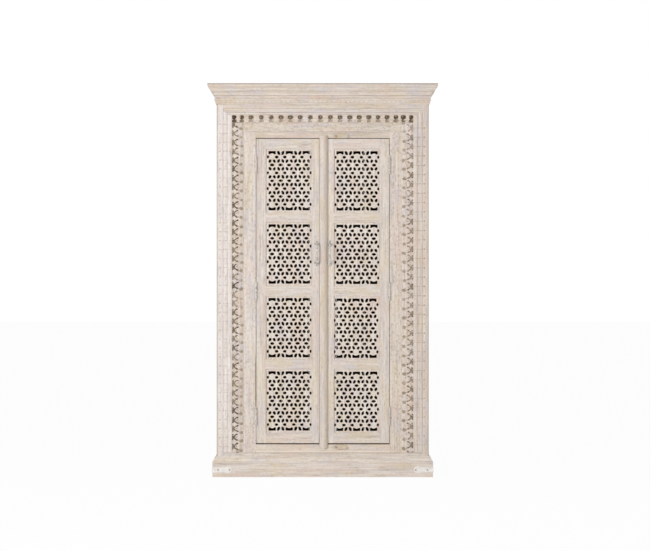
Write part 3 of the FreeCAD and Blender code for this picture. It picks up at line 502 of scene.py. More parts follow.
def level_strip(low, high, crown, edge, half_length, power):
    """The same strip over the doors, with its length along x."""
    x = steps(-half_length, half_length, 1.6)[:, None]
    z = steps(low, high, 2.2)
    s = (z - (low + high) / 2) / ((high - low) / 2)
    face = crown + (edge - crown) * np.abs(s) ** power
    cut = 0.6 * v_cut(x - TOP_X[nearest_top(x)], 2)
    # The saw cuts are painted a little dark, for grime and painted shade.
    return carved_board(x, z, face + 1.0 * cut, REBATE_Y, 0.14 * cut)


# The left copy is washed paler than the right one: painted light, the left side being nearer the lamp.
SIDE_WOOD = {
    "left": limed_wood(
        "limed_wood_left", "z", (3, 8, 1), lime="efe8e3", cool="dbd1cc", warm="e1d5c6", pink="e4d6d0", thin=0.3
    ),
    "right": limed_wood("limed_wood_right", "z", (9, 4, 2), lime="e2d8ce", cool="cabcb2", warm="d6c3ab", thin=0.45),
}
wood_level = limed_wood("limed_wood_level", "x", (5, 5, 3))


def three_strips(name, node, inner, outer, crown, edges, tops, power, dirt_and_shade):
    """Left, right and top length of one strip in one piece, with three finishes, because each is its own board."""
    parts = [upright_strip(side, inner, outer, crown, edges[0], tops[0], power, dirt_and_shade[side]) for side in SIGN]
    parts.append(level_strip(*tops, crown, edges[1], outer, power))
    woods = [*SIDE_WOOD.values(), wood_level]
    make_piece(name, gather(parts), "case", [node], woods, by_part(parts, [0, 1, 2]), sharp=40)


three_strips(
    "bead_lengths", "beads", BORDER, BEAD, -178.0, (-173.4, -174.0), (BORDER_TOP, BEAD_TOP), 2.6,
    {"left": (0.12, 0.17), "right": (0.16, 0.28)},
)
three_strips(
    "block_strip_lengths", "block_strips", BEAD, STRIP, -177.0, (-174.8, -175.2), (BEAD_TOP, STRIP_TOP), 7.0,
    {"left": (0.23, 0.23), "right": (0.12, 0.27)},
)


# %% Front posts with pearls, punched dots and scratched lines
def post(side):
    """Height over (a, away): a is the distance from the cabinet's middle, away that from the nearest motif. Round
    each pearl the face is 1 mm lower, and dots, lines and the rounded outer edge go down further."""
    x = np.sort(SIGN[side] * steps(STRIP, POST, 1.6))[:, None]
    z = np.concatenate([steps(0, 120, 12)[:-1], steps(120, 1870, 1.8), steps(1870, 1978, 12)[1:]])
    a, away = np.abs(x), from_motif(z, side)
    shown = (z > 130) & (z < 1810)
    spot = 523.0 if side == "left" else 518.0  # a of the row of dots and pearls
    dot = soft(oval(a, away, spot, 0, 4.4, 4.0, 0), 2.6) * shown
    pearl = np.clip(oval(a, PITCH[side] / 2 - np.abs(away), spot, 0, 6.5, 16.5, 0) / 6.5, 0, 1) ** 0.5 * shown
    level = v_cut(away, 2.2) * shown
    line = v_cut(a - spot - 9.5, 1.6) * ((z > 110) & (z < 1900))
    edge = np.clip((a - 537) / 3, 0, 1) ** 2
    worn = np.clip((a - 534) / 4, 0, 1)
    depth = most(2.6 * dot, line, 1.1 * level, 1.6 * edge, (1 - pearl) * shown)
    # Dots and lines are painted dark for grime and painted shade, lighter low down on the right; the worn arris is bare
    # wood.
    dirt_and_shade = by_height(z, (0.14, 0.14) if side == "left" else (0.08, 0.14))
    shade = most((1.6 if side == "left" else 2.7) * dirt_and_shade * dot, 0.16 * line, dirt_and_shade * level, 0.34 * worn)
    return carved_board(x, z, POST_Y + depth, BACK_Y, shade)


for side, wood in SIDE_WOOD.items():
    make_piece(
        f"{side}_front_post_face", post(side), "case", [f"{side}_front_post"], [wood], sharp=40
    )

# %% [markdown]
# ## The light bands round the doors
# Beside the doors and over them the frame is flat, with shallow lines cut by a V tool: one running line, and a
# fan of small arcs at each motif of the border next to it. The boards carry on behind the strips, 15 mm lower,
# and the two upright ones have shallow pockets for the hinge leaves, so these are the same boards as in the
# packed cabinet with the lines cut into them.

# %% Shallow lines
HINGES, HINGE_HALF, POCKET = (307.0, 944.0, 1590.0), 44.0, 2.1  # mm: middle heights, half height, pocket depth
FINE_DEEP, FINE_SHADE = 0.9, 0.10  # mm: depth of the V tool's lines, and how dark they are painted, for grime and painted shade
CORNER = 0.05  # mm: the face drops to the rebate within this distance


def fans(across, along):
    """Three arcs 12, 17 and 22 mm from the point (61.5, 0), a small punched dot and a running line. across is
    measured from the doors outwards, along from the motif. The lines are Vs, 3 mm wide at the surface."""
    away = np.hypot(across - 61.5, along * 1.1)
    arcs = np.min([np.abs(away - r) for r in (12.0, 17.0, 22.0)], axis=0)
    dot = np.hypot(across - 33, along) - 1.8
    running = across - 15 - 1.2 * np.cos(along / 7.3)
    return most(v_cut(arcs, 1.5), np.clip(1 - dot / 1.2, 0, 1), 0.9 * v_cut(running, 1.4))


def jamb(side):
    """Height over (x, z): the flat band with fans, then down to the rebate behind the strips. The edge next to the
    door is set back by the pocket's depth at each hinge. On the left that edge is painted dark from about 300 to
    660 mm high, darkest from 390 to 570 mm: painted shade of the gap beside the door."""
    sign = SIGN[side]
    breaks = [middle + end * HINGE_HALF + d for middle in HINGES for end in (-1, 1) for d in (-0.01, 0.01)]
    z = np.unique(np.concatenate([steps(FOOT, HEAD, 1.7), breaks]))
    a = np.concatenate([[OPENING], steps(OPENING + 3, FLAT, 1.6), [FLAT + CORNER, STRIP]])
    pocket = np.min([np.abs(z - middle) for middle in HINGES], axis=0) < HINGE_HALF
    wide = np.broadcast_to(a[:, None], (len(a), len(z))).copy()
    wide[0] += POCKET * pocket
    line = fans(wide - OPENING, from_motif(z, side, 20)) * (wide > 346) * (wide <= FLAT)
    front = np.where(wide <= FLAT, FLAT_Y + FINE_DEEP * line, REBATE_Y)
    hollow = FINE_SHADE * line
    # Painted shade of the gap beside the left door, on the jamb's edge.
    if side == "left":
        hollow[0] = np.maximum(hollow[0], soft(135 - np.abs(z - 480), 90))
    order = slice(None, None, sign)
    return carved_board((sign * wide)[order], z, front[order], BACK_Y, hollow[order])


def head_board():
    """The same over the doors, with the fans under the motifs and a chamfer along the lower edge."""
    x = np.concatenate([[-STRIP, -FLAT - CORNER], steps(-FLAT, FLAT, 1.6), [FLAT + CORNER, STRIP]])[:, None]
    z = np.concatenate([steps(HEAD, FLAT_TOP, 1.5), [FLAT_TOP + CORNER, STRIP_TOP]])
    line = fans(16.5 + (z - HEAD), x - TOP_X[nearest_top(x)])
    chamfer = v_cut(z - HEAD, 3.0)
    band = (np.abs(x) <= FLAT) & (z <= FLAT_TOP)
    front = np.where(band, FLAT_Y + FINE_DEEP * line + 1.8 * chamfer, REBATE_Y)
    # The chamfer along the lower edge is painted dark: painted shade at the top of the opening.
    return carved_board(x, z, front, BACK_Y, np.maximum(FINE_SHADE * line, 0.30 * chamfer) * band)


# The left jamb is washed paler than the right one: painted light, the left side being nearer the lamp.
band_wood = {
    "left_face_stile": limed_wood("limed_jamb_left", "z", (12, 3, 6), lime="ebe2d9", cool="d1c5bd", speck=0.45),
    "right_face_stile": limed_wood("limed_jamb_right", "z", (5, 7, 9), lime="e6dbcf", cool="ccbeb2", speck=0.6),
    "face_head": limed_wood("limed_face_head", "x", (8, 2, 7), lime="e3d8cc", cool="c8bbae", warm="d4c3aa", speck=0.6),
}
for name, shape in zip(band_wood, (jamb("left"), jamb("right"), head_board())):
    make_piece(f"{name}_face", shape, "case", [name], [band_wood[name]], sharp=40)

# %% [markdown]
# ## The rail under the sill
# The bottom rail stands proud of the sill, and a small bead with a quirk under it runs along its top edge. The
# quirk is painted brown for grime and painted shade, which gives the brown line between sill and plinth.


# %% The bottom rail
def lower_rail():
    """Height over z: the flat front, a narrow groove at 119.6 mm and a rounded edge above it."""
    z = np.concatenate([steps(71, 114, 6), steps(115, FOOT, 0.5)])
    groove = v_cut(z - 119.6, 1.3)
    edge = 1.4 * np.clip((z - 120.9) / 1.1, 0, 1) ** 2
    return carved_board(steps(-STRIP, STRIP, 8.0)[:, None], z, -178 + 2.0 * groove + edge, BACK_Y, 0.42 * groove)


rail_wood = limed_wood("limed_bottom_rail", "x", (3, 9, 4), lime="eae1d6", cool="d3c7bb", warm="dfcfb6")
make_piece("bottom_rail_face", lower_rail(), "case", ["bottom_rail"], [rail_wood], sharp=40)

# %% [markdown]
# ## Cornice and plinth moulding
# A moulding is one profile pushed along the front and round both sides, cut at 45 degrees at the corners. The
# profile is a row of points, how far out and how high, with arcs sampled between them, and near the foot of the
# cornice a row of small square notches is cut.

# %% Profiles carried round the case
REAR = 225.0  # mm: the back of the case


def dentils(along, z):
    """A notch 8.8 mm wide every 23.4 mm in the cornice's flat band from 1905.5 to 1916 mm, 1.8 mm deep."""
    near = np.abs((along + 11.7) % 23.4 - 11.7) < 4.4
    return 1.8 * near * ((z > 1905.5) & (z < 1916))


def moulding(profile, side, dirt_and_shade):
    """Stations along the path times points of the profile. At the front corners the station moves outwards by
    the depth in both directions, which is a mitre. The last argument gives the heights of the quirks, which are
    painted dark within 2 mm, and how dark: painted shade with some grime. The notches are painted a little dark
    too, painted shade."""
    depth, height = profile.T
    if side == "front":
        x = steps(-1, 1, 0.006)[:, None] * (POST + depth)
        notch = dentils(x, height)
        y = POST_Y - depth + notch
    else:
        y = REAR + steps(0, 1, 0.008)[:, None] * (POST_Y - depth - REAR)
        notch = dentils(y, height)
        x = SIGN[side] * (POST + depth - notch)
    points = np.stack(np.broadcast_arrays(x, y, height), -1)
    n, m = notch.shape
    g = np.arange(n * m).reshape(n, m)
    faces = [patches(g, closed=True)[:, [0, 3, 2, 1]], g[0][None, ::-1], g[-1][None, :]]
    hollow = most(0.07 * notch, *(dark * v_cut(height - quirk, 2.0) for quirk, dark in dirt_and_shade.items()))
    return points.reshape(-1, 3), faces, hollow.ravel()


def arc(start, end, bulge, count=6):
    """Points from start to end on a curve that stands off the straight line by bulge times its length (a parabola)."""
    t = np.linspace(0, 1, count)[:, None]
    start, end = np.array(start, float), np.array(end, float)
    side = np.array([end[1] - start[1], start[0] - end[0]])
    return start + (end - start) * t + side * bulge * 4 * t * (1 - t)


CORNICE = np.concatenate([
    [[0, 1896], [2.4, 1896]],
    arc((3.2, 1897), (4.4, 1902), 0.25, 4),
    [[4.4, 1904], [6.6, 1904.6], [7.6, 1906], [7.6, 1915.5], [8.6, 1916.5]],
    arc((11.4, 1917.5), (7.4, 1927), 0.16),
    [[6.4, 1928.4], [6.4, 1930]],
    arc((9.0, 1931), (10.6, 1938), 0.2, 5),
    [[8.6, 1939.4], [8.6, 1941.6]],
    arc((12.6, 1942.6), (28.0, 1963), -0.13, 9),
    arc((28.0, 1963), (37.5, 1979), 0.10)[1:],
    [[40.5, 1980], [40.5, 1983.5]],
    arc((41.0, 1984), (44.4, 1989), 0.25, 5),
    [[45.0, 1990], [45.0, 1994.6], [42.6, 1995.4], [42.6, 1996.8], [45.0, 1997.6], [45.0, 1999.4]],
    [[44.2, 2000], [0, 2000]],
])
PLINTH = np.concatenate([
    [[0, 71], [20.0, 71], [21.0, 73]],
    arc((21.0, 74), (20.2, 78), 0.2, 4),
    [[18.4, 78.4], [18.4, 80]],
    arc((18.0, 80.4), (14.4, 87), -0.2),
    [[13.6, 87.6], [13.6, 89.4]],
    arc((13.4, 90), (7.0, 96.4), 0.24),
    [[4.6, 97.4], [4.6, 100]],
    arc((4.4, 100.2), (1.2, 105), 0.25, 4),
    [[0, 105]],
])
# Heights of the mouldings' quirks and how dark each is painted: painted shade with some grime.
CORNICE_DIRT_AND_SHADE = {1904.3: 0.16, 1929.2: 0.05, 1940.5: 0.42, 1980: 0.16, 1998: 0.75}  # height in mm: how dark
PLINTH_DIRT_AND_SHADE = {71: 0.36, 79: 0.03, 88.5: 0.04, 98.7: 0.16, 105: 0.10}

wood_side = limed_wood("limed_wood_sides", "y", (6, 1, 4))
cornice_wood = {
    "front": limed_wood("limed_wood_cornice", "x", (2, 6, 8), lime="e4dad0", cool="cec1b5", warm="d8c7b1", thin=0.5),
    "left": wood_side, "right": wood_side,
}
for side, wood in cornice_wood.items():
    shape = moulding(CORNICE, side, CORNICE_DIRT_AND_SHADE)
    make_piece(f"cornice_{side}_moulding", shape, "case", [f"cornice_{side}"], [wood], sharp=30)
wood_plinth = limed_wood("limed_plinth_moulding", "x", (4, 4, 11), lime="ece3d9", cool="d8ccc1", warm="e2d3bd")
parts = [outward(moulding(PLINTH, side, PLINTH_DIRT_AND_SHADE)) for side in cornice_wood]
make_piece(
    "plinth_moulding_lengths", gather(parts), "case", ["plinth_mouldings"],
    [wood_plinth, wood_side], by_part(parts, [0, 1, 1]), sharp=30,
)

# %% [markdown]
# ## The pierced panels
# Each panel is one board sawn through in a star lattice: 113 holes between star points and solid discs. It is
# laid out in small rectangles, each with one hole. In a rectangle the surface runs in rings: from its edge on
# the back to the hole, through the wall, over a bevel and back out to the edge on the front. Neighbours share
# their edge points, so the whole board closes once equal points are merged.

# %% The lattice
STEP, ROW = 43.6, 40.3  # mm between star points along a row, and from row to row
COLUMN = STEP / 2
BAND = 8.5  # half height of the strip of rectangles along each row
DISC = 15.8  # radius of the solid disc in the middle of a rosette, which no hole enters
LENS = (9.7, 6.1)  # half length and half width of a hole between two star points
FACE_Y, REAR_Y = -156.0, -144.0  # the panels' front and back
DISH = 0.5  # the lattice's bars are this much lower along their middle than at the holes' rims
HALF_W, HALF_H = 125.0, 169.5
SIDE_X = 5 * COLUMN
END_LOW, END_EDGE = 3 * ROW + BAND, 151.0  # where the end rows' rectangles begin, and where their holes end
END_Z = (END_LOW + HALF_H) / 2
PANEL_X, PANEL_Z = 174.0, (384.0, 758.5, 1133.0, 1507.5)
# How far each lattice slipped to the right and up from the middle of its board, from the lowest panel upwards.
SLIP = {-1: ((3, 0), (3, 0), (3, 2), (3, 2)), 1: ((-1, -2), (-4, -3), (0, 0), (1, 1))}


def edge_points(centre, wide, tall, shares):
    """Points round rectangles of half size wide by tall, anticlockwise from the lower left. shares are the places
    of the points along the level sides, from 0 to 1. An upright side has three steps."""
    level, upright = 2 * shares - 1, np.linspace(-1, 1, 4)
    across, up = np.ones(len(level) - 1), np.ones(3)
    px = np.concatenate([level[:-1], up, level[:0:-1], -up]) * wide
    pz = np.concatenate([-across, upright[:-1], across, upright[:0:-1]]) * tall
    return centre[:, None, :] + np.stack([px, pz], -1)


def lens_outline(centre, tilt, long, short, count, start):
    """A pointed oval: x = long cos t, z = short sin t |sin t|^0.25, turned by tilt. start is t at the first point."""
    t = start[:, None] + np.arange(count) * 2 * np.pi / count
    p = long[:, None] * np.cos(t)
    q = short[:, None] * np.sin(t) * np.abs(np.sin(t)) ** 0.25
    c, s = np.cos(tilt)[:, None], np.sin(tilt)[:, None]
    return centre[:, None, :] + np.stack([p * c - q * s, p * s + q * c], -1)


def push_off_discs(outline):
    """Moves points that lie within DISC of a disc's middle straight out to that radius."""
    for disc in DISCS:
        away = outline - disc
        distance = np.linalg.norm(away, axis=-1, keepdims=True)
        outline = np.where(distance < DISC, disc + away * (DISC / np.maximum(distance, 1e-6)), outline)
    return outline


def grown(outline, by):
    """The outline moved outwards from its own middle by by mm."""
    away = outline - outline.mean(1, keepdims=True)
    return outline + away / np.maximum(np.linalg.norm(away, axis=-1, keepdims=True), 1e-6) * by


def mirrored(values):
    """Each value and its negative, sorted."""
    return sorted({sign * v for v in values for sign in (-1, 1)})


def pairs(xs, zs):
    """All pairs of an x and a z, as an array."""
    return np.array([(x, z) for z in zs for x in xs])


DISCS = pairs([-2 * STEP, 0.0, 2 * STEP], mirrored([ROW, 3 * ROW]))
EVEN, COARSE = np.linspace(0, 1, 4), np.linspace(0, 1, 7)  # a narrow and a wide rectangle's points along a side
SIDE_SHARES = np.append(np.linspace(0, COLUMN, 4), HALF_W - 4 * COLUMN) / (HALF_W - 4 * COLUMN)


# %% The families of holes in one panel
def slanting_holes(shake):
    """Pointed ovals along the slanting lines of the lattice. Those whose column and row numbers add up to an even
    number lean left, the others right, and a corner of the rectangle meets each tip."""
    centre = pairs(mirrored([(c + 0.5) * COLUMN for c in range(5)]), mirrored([ROW / 2, 1.5 * ROW, 2.5 * ROW]))
    left = np.floor(centre / (COLUMN, ROW)).sum(1) % 2 == 0
    slope = math.atan2(ROW, COLUMN)
    n = len(centre)
    middle = centre + shake.normal(0, 0.35, (n, 2))
    long, short = LENS[0] * (1 + shake.normal(0, 0.04, n)), LENS[1] * (1 + shake.normal(0, 0.05, n))
    tilt, start = np.where(left, np.pi - slope, slope), np.where(left, np.pi / 2, np.pi)
    hole = lens_outline(middle, tilt, long, short, 12, start)
    return edge_points(centre, COLUMN / 2, ROW / 2 - BAND, EVEN), push_off_discs(hole)


def level_holes(shake):
    """Pointed ovals along the rows: between star points, and on the rows with discs between a disc and a star."""
    stars = pairs(mirrored([0.0, STEP, 2 * STEP]), mirrored([0.0, 2 * ROW]))
    beside = pairs(mirrored([COLUMN, 3 * COLUMN]), mirrored([ROW, 3 * ROW]))
    centre = np.concatenate([stars, beside])
    n = len(centre)
    middle = centre + shake.normal(0, 0.3, (n, 2))
    long, short = (size * (1 + shake.normal(0, 0.04, n)) for size in LENS)
    hole = lens_outline(middle, np.zeros(n), long, short, 18, np.full(n, math.radians(210)))
    return edge_points(centre, COLUMN, BAND, COARSE), push_off_discs(hole)


def side_holes(shake, side):
    """Upright ovals at the ends of the rows with discs."""
    shares = SIDE_SHARES if side > 0 else 1 - SIDE_SHARES[::-1]
    centre = pairs([side * (HALF_W + 4 * COLUMN) / 2], mirrored([ROW, 3 * ROW]))
    n = len(centre)
    middle = np.stack([np.full(n, side * 109.5), centre[:, 1]], 1) + shake.normal(0, 0.3, (n, 2))
    wide, tall = np.full(n, 4.9), 7.0 * (1 + shake.normal(0, 0.03, n))
    hole = lens_outline(middle, np.zeros(n), wide, tall, 14, np.full(n, math.radians(225)))
    return edge_points(centre, (HALF_W - 4 * COLUMN) / 2, BAND, shares), hole


def end_holes(shake, side, wide):
    """Along the upper and lower end of the panel: wide holes over the discs, whose crest notches them, and pairs
    of upright holes over the stars. All end in one straight line. The lower row is the upper one turned over."""
    if wide:
        centre = pairs([-2 * STEP, 0.0, 2 * STEP], [END_Z])
        across = np.linspace(-17.2, 17.2, 7)
        low = 135.5 + 5.5 * np.clip(1 - (across / 9.5) ** 2, 0, 1)
        px = np.concatenate([across[:-1], [17.2, 17.8, 17.6], across[::-1][:-1], [-17.2, -17.8, -17.6]])
        pz = np.concatenate([low[:-1], [135.5, 140.5, 146.0], np.full(6, END_EDGE), [END_EDGE, 146.0, 140.5]])
        edge = edge_points(centre, COLUMN, END_Z - END_LOW, COARSE)
    else:
        centre = pairs(mirrored([1.5 * COLUMN, 2.5 * COLUMN]), [END_Z])
        t = np.radians(225 + 30 * np.arange(12))
        px = 6.6 * np.sign(np.cos(t)) * np.abs(np.cos(t)) ** 0.75
        rise = np.minimum(9.8 * np.sign(np.sin(t)) * np.abs(np.sin(t)) ** 0.85, 8.9)
        lean = np.where(np.abs(centre[:, 0]) < STEP, 1, -1) * np.sign(centre[:, 0])
        px, pz = px - lean[:, None] * 3.0 * rise / 9.8, END_EDGE - 8.9 + rise
        edge = edge_points(centre, COLUMN / 2, END_Z - END_LOW, EVEN)
    hole = np.stack([centre[:, 0, None] + px, np.broadcast_to(pz, (len(centre), len(pz)))], -1)
    hole = hole + shake.normal(0, 0.3, (len(centre), 1, 2)) * (1, 0.4)
    if side < 0:
        edge, hole = (shape[:, ::-1] * (1, -1) for shape in (edge, hole))
    return edge, hole


# %% Rings from the back's edge through the hole to the front's edge
# The back rings are the brown of the unwashed back; the hole's wall is painted nearly black, which is painted shade,
# and the bevel a little dark.
RING_HOLLOW = np.array([0.42, 0.50, 0.95, 0.10, 0.0, 0.0])  # how dark each ring is, from the back's edge on


def rings(edge, hole):
    """Each rectangle's points in six rings: edge and hole on the back, hole, bevel and rim near the face, edge."""
    layers = [
        (edge, REAR_Y), (hole, REAR_Y), (hole, FACE_Y + 3.0),
        (grown(hole, 1.4), FACE_Y + 0.8), (grown(hole, 2.6), FACE_Y), (edge, FACE_Y + DISH),
    ]
    points = np.stack([np.insert(flat, 1, y, axis=2) for flat, y in layers], 1)
    g = np.arange(points.size // 3).reshape(points.shape[:3])
    return points.reshape(-1, 3), [patches(g, closed=True)], np.broadcast_to(RING_HOLLOW[:, None], g.shape).ravel()


def strip_walls():
    """The plain strips at the two sides, and the four outer edges of the board."""
    rows = [(k * ROW - BAND, k * ROW + BAND) for k in range(-3, 4)]
    between = [(a[1], b[0]) for a, b in zip(rows, rows[1:])]
    ends = [(-HALF_H, -END_LOW), (END_LOW, HALF_H)]
    spans = sorted(rows + between + ends)
    z_all = np.unique(np.concatenate([np.linspace(a, b, 4) for a, b in spans]).round(6))
    x_all = np.unique(np.concatenate([[-HALF_W], np.arange(-15, 16) * COLUMN / 3, [HALF_W]]).round(6))
    parts = []
    for low, high in between + ends + rows[1::2]:
        for x in ((-HALF_W, -SIDE_X), (SIDE_X, HALF_W)):
            grid = np.stack([*np.meshgrid(x, np.linspace(low, high, 4), indexing="ij")], -1).reshape(-1, 2)
            quad = patches(np.arange(8).reshape(2, 4))
            for y, faces, deep in ((FACE_Y + DISH, quad, RING_HOLLOW[-1]), (REAR_Y, quad[:, ::-1], RING_HOLLOW[0])):
                parts.append((np.insert(grid, 1, y, axis=1), [faces], np.full(8, deep)))
    walls = ((z_all, HALF_W, 0, 1), (z_all, -HALF_W, 0, -1), (x_all, HALF_H, 2, -1), (x_all, -HALF_H, 2, 1))
    for line, fixed, axis, turn in walls:
        wall = np.empty((2, len(line), 3))
        wall[..., axis], wall[..., 2 - axis] = fixed, line
        wall[0, :, 1], wall[1, :, 1] = FACE_Y + DISH, REAR_Y
        quad = patches(np.arange(2 * len(line)).reshape(2, -1))[:, ::turn]
        parts.append((wall.reshape(-1, 3), [quad], np.zeros(2 * len(line))))
    return parts


def rosettes():
    """A low dome with eight petals on each disc: its height falls with the radius squared, less a groove between
    petals. The flat underside is sunk in the board."""
    radius, rounds, spokes = 13.8, 6, 32
    share, turn = np.meshgrid(np.linspace(0.06, 1, rounds), np.arange(spokes) * 2 * np.pi / spokes, indexing="ij")
    petal = 0.55 * np.abs(np.cos(4 * turn)) * np.clip(share * 1.6 - 0.3, 0, 1)
    petal = petal + 0.5 * np.exp(-(((share - 0.33) / 0.09) ** 2))
    y = FACE_Y + 0.9 - (2.3 * (1 - share**4) - np.where(share < 0.95, 0.6 - petal, 0) * 0.9)
    flat = np.stack([share * np.cos(turn) * radius, y, share * np.sin(turn) * radius], -1).reshape(-1, 3)
    g = np.arange(rounds * spokes).reshape(rounds, spokes)
    faces = [patches(g, closed=True), g[0][None, :], g[-1][None, ::-1]]
    # The grooves between the petals are painted a little dark: painted shade.
    hollow = np.clip(0.22 * (0.6 - petal.ravel()), 0, 1)
    return [(flat + (x, 0, z), faces, hollow) for x, z in DISCS]


def welded(points, faces, hollow):
    """Merges points that are equal to a thousandth of a millimetre."""
    _, first, back = np.unique((points * 1000).round().astype(np.int64), axis=0, return_index=True, return_inverse=True)
    return points[first], [back.ravel()[group] for group in faces], hollow[first]


def leaf_panels(side):
    """The four panels of one leaf, each with its own small irregularities."""
    shake = np.random.default_rng(36 if side < 0 else 63)
    parts = []
    for z, (right, up) in zip(PANEL_Z, SLIP[side]):
        holes = [slanting_holes(shake), level_holes(shake)] + [side_holes(shake, end) for end in (-1, 1)]
        holes += [end_holes(shake, end, wide) for end in (-1, 1) for wide in (True, False)]
        board = welded(*gather([rings(*pair) for pair in holes] + strip_walls()))
        points, faces, hollow = gather([board, *rosettes()])
        inner = np.clip((np.array([HALF_W, HALF_H]) - np.abs(points[:, [0, 2]])) / (8, 17), 0, 1)
        points = points + np.insert(inner * (right, up), 1, 0, axis=1)
        parts.append((points + (side * PANEL_X, 0, z), faces, hollow))
    return gather(parts)


for side, shift in (("left", 11), ("right", 14)):
    wood = limed_wood(f"limed_panel_{side}", "z", (shift, 5, 3), lime="efe7de", cool="d9cdc2", thin=0.3)
    panels = leaf_panels(SIGN[side])
    make_piece(f"{side}_lattice_panels", panels, f"{side}_door", [f"{side}_pierced_panels"], [wood])

# %% [markdown]
# ## Finishes for the boards that stay as packed
# Every board gets its own wood, with the grain along its length and a pattern moved to another place, because
# two boards of the real cabinet never share their streaks.

# %% One finish for each packed board
ALONG = {
    "x": "plinth_front_board plinth_back_board back_rails floor_board top_board head_rail head_strip sill_board "
         "lower_shelf middle_shelf upper_shelf left_door_rails right_door_rails top_turn_button bottom_turn_button",
    "y": "plinth_left_board plinth_right_board side_rails shelf_cleats",
    "z": "left_back_post right_back_post side_panels back_planks left_hinge_stile left_meeting_stile "
         "right_hinge_stile right_meeting_stile cover_strip",
}
OILED = "plinth_back_board back_rails floor_board lower_shelf middle_shelf upper_shelf shelf_cleats back_planks".split()
IRON = (
    "corner_straps frame_hinge_leaves left_hinge_leaves right_hinge_leaves hinge_pins left_pull_handle "
    "right_pull_handle"
).split()
# Boards whose wash differs. The sill and the strip over the doors are dark behind their front edge: bare wood
# beyond the wash, and painted shadow of the leaves. The sill's front is painted paler low down, a painted
# highlight, and the cover strip is browner at its right edge, painted shade on its side away from the lamp.
BEHIND_EDGE = ("Y", -162.2, -161.0)
BUTTON = {"lime": "ded0b4", "cool": "bfae90", "warm": "cdb78c", "bare": "8f7450"}
OWN = {
    "cover_strip": {"tones": [("X", 2, 24, 0.58, "b9a98e")], "lime": "e4dad0", "cool": "cbbfb5"},
    "right_meeting_stile": {"lime": "ebe2d8", "cool": "d2c6bc", "warm": "dccbb0"},
    "sill_board": {
        "tones": [(*BEHIND_EDGE, 0.9, "3c2c1d"), ("Z", 133, 125, 0.7, "ede5da")],
        "lime": "e8ddd0", "cool": "cfc1b2", "warm": "dccaae",
    },
    "head_strip": {"tones": [(*BEHIND_EDGE, 0.6, "4a3a2a")], "lime": "dcd0c3", "cool": "c3b5a8", "warm": "cfbea4"},
    # The rail under the cornice is washed darker: painted shade of the cornice.
    "head_rail": {"lime": "e0d6cb", "cool": "c4b8ad"},
    "top_turn_button": BUTTON,
    "bottom_turn_button": BUTTON,
}


def finish_node(name, made):
    """Gives a packed board or fitting its finish, in place of its plain packed one."""
    slots = nodes[name].data.materials
    if len(slots):
        slots[0] = made
    else:
        slots.append(made)


grain_of = {name: along for along, names in ALONG.items() for name in names.split()}
for number, (name, along) in enumerate(sorted(grain_of.items())):
    shift = (number * 1.7, number * 2.3, number * 0.9)
    if name in OILED:
        finish_node(name, oiled_wood(f"oiled_{name}", along, shift))
    else:
        finish_node(name, limed_wood(f"limed_{name}", along, shift, **OWN.get(name, {})))
iron = painted_iron("worn_white_iron", 0.9, "cdc6bf", "ebe7e2")
strap_iron = painted_iron("fresh_white_iron", 0.12, "e6e1db", "f6f2ed")
for name in IRON:
    finish_node(name, strap_iron if name == "corner_straps" else iron)
steel = dulled_steel("dulled_steel", "8f877e", "b8afa5")
brushed_over = dulled_steel("steel_brushed_over", "a9a49d", "c6c0b8")
screws = [name for name in nodes if name.endswith("screws")]
for name in screws:
    finish_node(name, brushed_over if name == "strap_screws" else steel)
print("finished:", len(grain_of), "boards,", len(IRON), "iron nodes,", len(screws), "groups of screws")

# %% [markdown]
# ## Floor, light and camera
# The photograph is a plain studio view: soft light from the left front, white all round. The floor is white
# paint that keeps a faint shadow, and the white backdrop shows only to the camera and in reflections, so that
# it throws no extra light on the cabinet. The camera stands far off, level with the middle of the cabinet.

# %% Studio
WHITE = (1.0, 1.0, 1.0, 1.0)


def area_light(name, place, target, size, watts):
    """A square white lamp that faces the target."""
    lamp = bpy.data.lights.new(name, "AREA")
    lamp.shape, lamp.size, lamp.energy, lamp.color = "SQUARE", size, watts, WHITE[:3]
    stand = bpy.data.objects.new(name, lamp)
    stand.location = place
    x, y, z = np.array(target) - np.array(place)
    stand.rotation_euler = (math.atan2(math.hypot(x, y), -z), 0, math.atan2(y, x) - math.pi / 2)
    scene.collection.objects.link(stand)


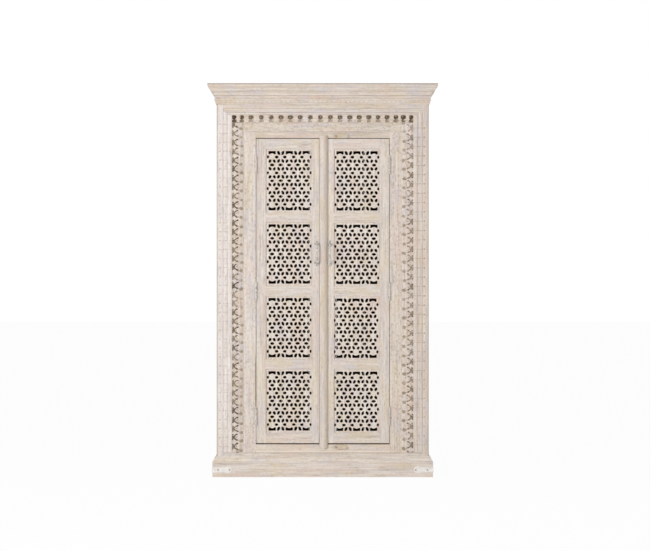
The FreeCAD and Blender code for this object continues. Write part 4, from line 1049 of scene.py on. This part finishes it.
def seen_directly(tree):
    """1 for what the camera sees straight, in a reflection or through glass, and 0 for all other light."""
    path = add(tree, "ShaderNodeLightPath").outputs
    seen = path["Is Camera Ray"]
    for kind in ("Is Glossy Ray", "Is Transmission Ray"):
        seen = add(tree, "ShaderNodeMath", {0: seen, 1: path[kind]}, operation="MAXIMUM").outputs[0]
    return seen


world = bpy.data.worlds.new("studio")
scene.world = world
world.use_nodes = True
sky = world.node_tree
background = sky.nodes["Background"].inputs
background["Color"].default_value = WHITE
strength = add(sky, "ShaderNodeMapRange", {"Value": seen_directly(sky), "To Min": 0.40, "To Max": 1.0})
sky.links.new(strength.outputs["Result"], background["Strength"])
CHEST = (0, 0, 1.0)  # m: the middle of the cabinet, which the lamps face
area_light("key_left", (-3.6, -5.2, 2.0), CHEST, 2.4, 176)
area_light("fill_right", (3.6, -4.8, 1.3), CHEST, 2.6, 60)

floor_mesh = bpy.data.meshes.new("floor")
reach = 30.0
corners = [(-reach, -reach, 0), (reach, -reach, 0), (reach, reach, 0), (-reach, reach, 0)]
floor_mesh.from_pydata(corners, [], [(0, 1, 2, 3)])
floor = bpy.data.objects.new("floor", floor_mesh)
scene.collection.objects.link(floor)
paint = bpy.data.materials.new("white_floor_paint")
paint.use_nodes = True
tree = paint.node_tree
matt = tree.nodes["Principled BSDF"]
matt.inputs["Base Color"].default_value = (0.9, 0.9, 0.9, 1)
matt.inputs["Roughness"].default_value = 0.8
glow = add(tree, "ShaderNodeEmission", {"Color": WHITE, "Strength": 1.0})
share = add(tree, "ShaderNodeMath", {0: seen_directly(tree), 1: 0.96}, operation="MULTIPLY").outputs[0]
both = add(tree, "ShaderNodeMixShader", {0: share, 1: matt.outputs[0], 2: glow.outputs[0]})
tree.links.new(both.outputs[0], tree.nodes["Material Output"].inputs["Surface"])
floor_mesh.materials.append(paint)

lens = bpy.data.cameras.new("camera")
camera = bpy.data.objects.new("camera", lens)
scene.collection.objects.link(camera)
FAR, SEEN = 9.0, 3.312  # m from the cabinet's front, and the width that the picture takes in there
camera.location = (0.0117, POST_Y * MM - FAR, 1.025)
camera.rotation_euler = (math.pi / 2, 0, 0)
lens.lens = lens.sensor_width * FAR / SEEN
scene.camera = camera
scene.view_settings.view_transform = "Standard"
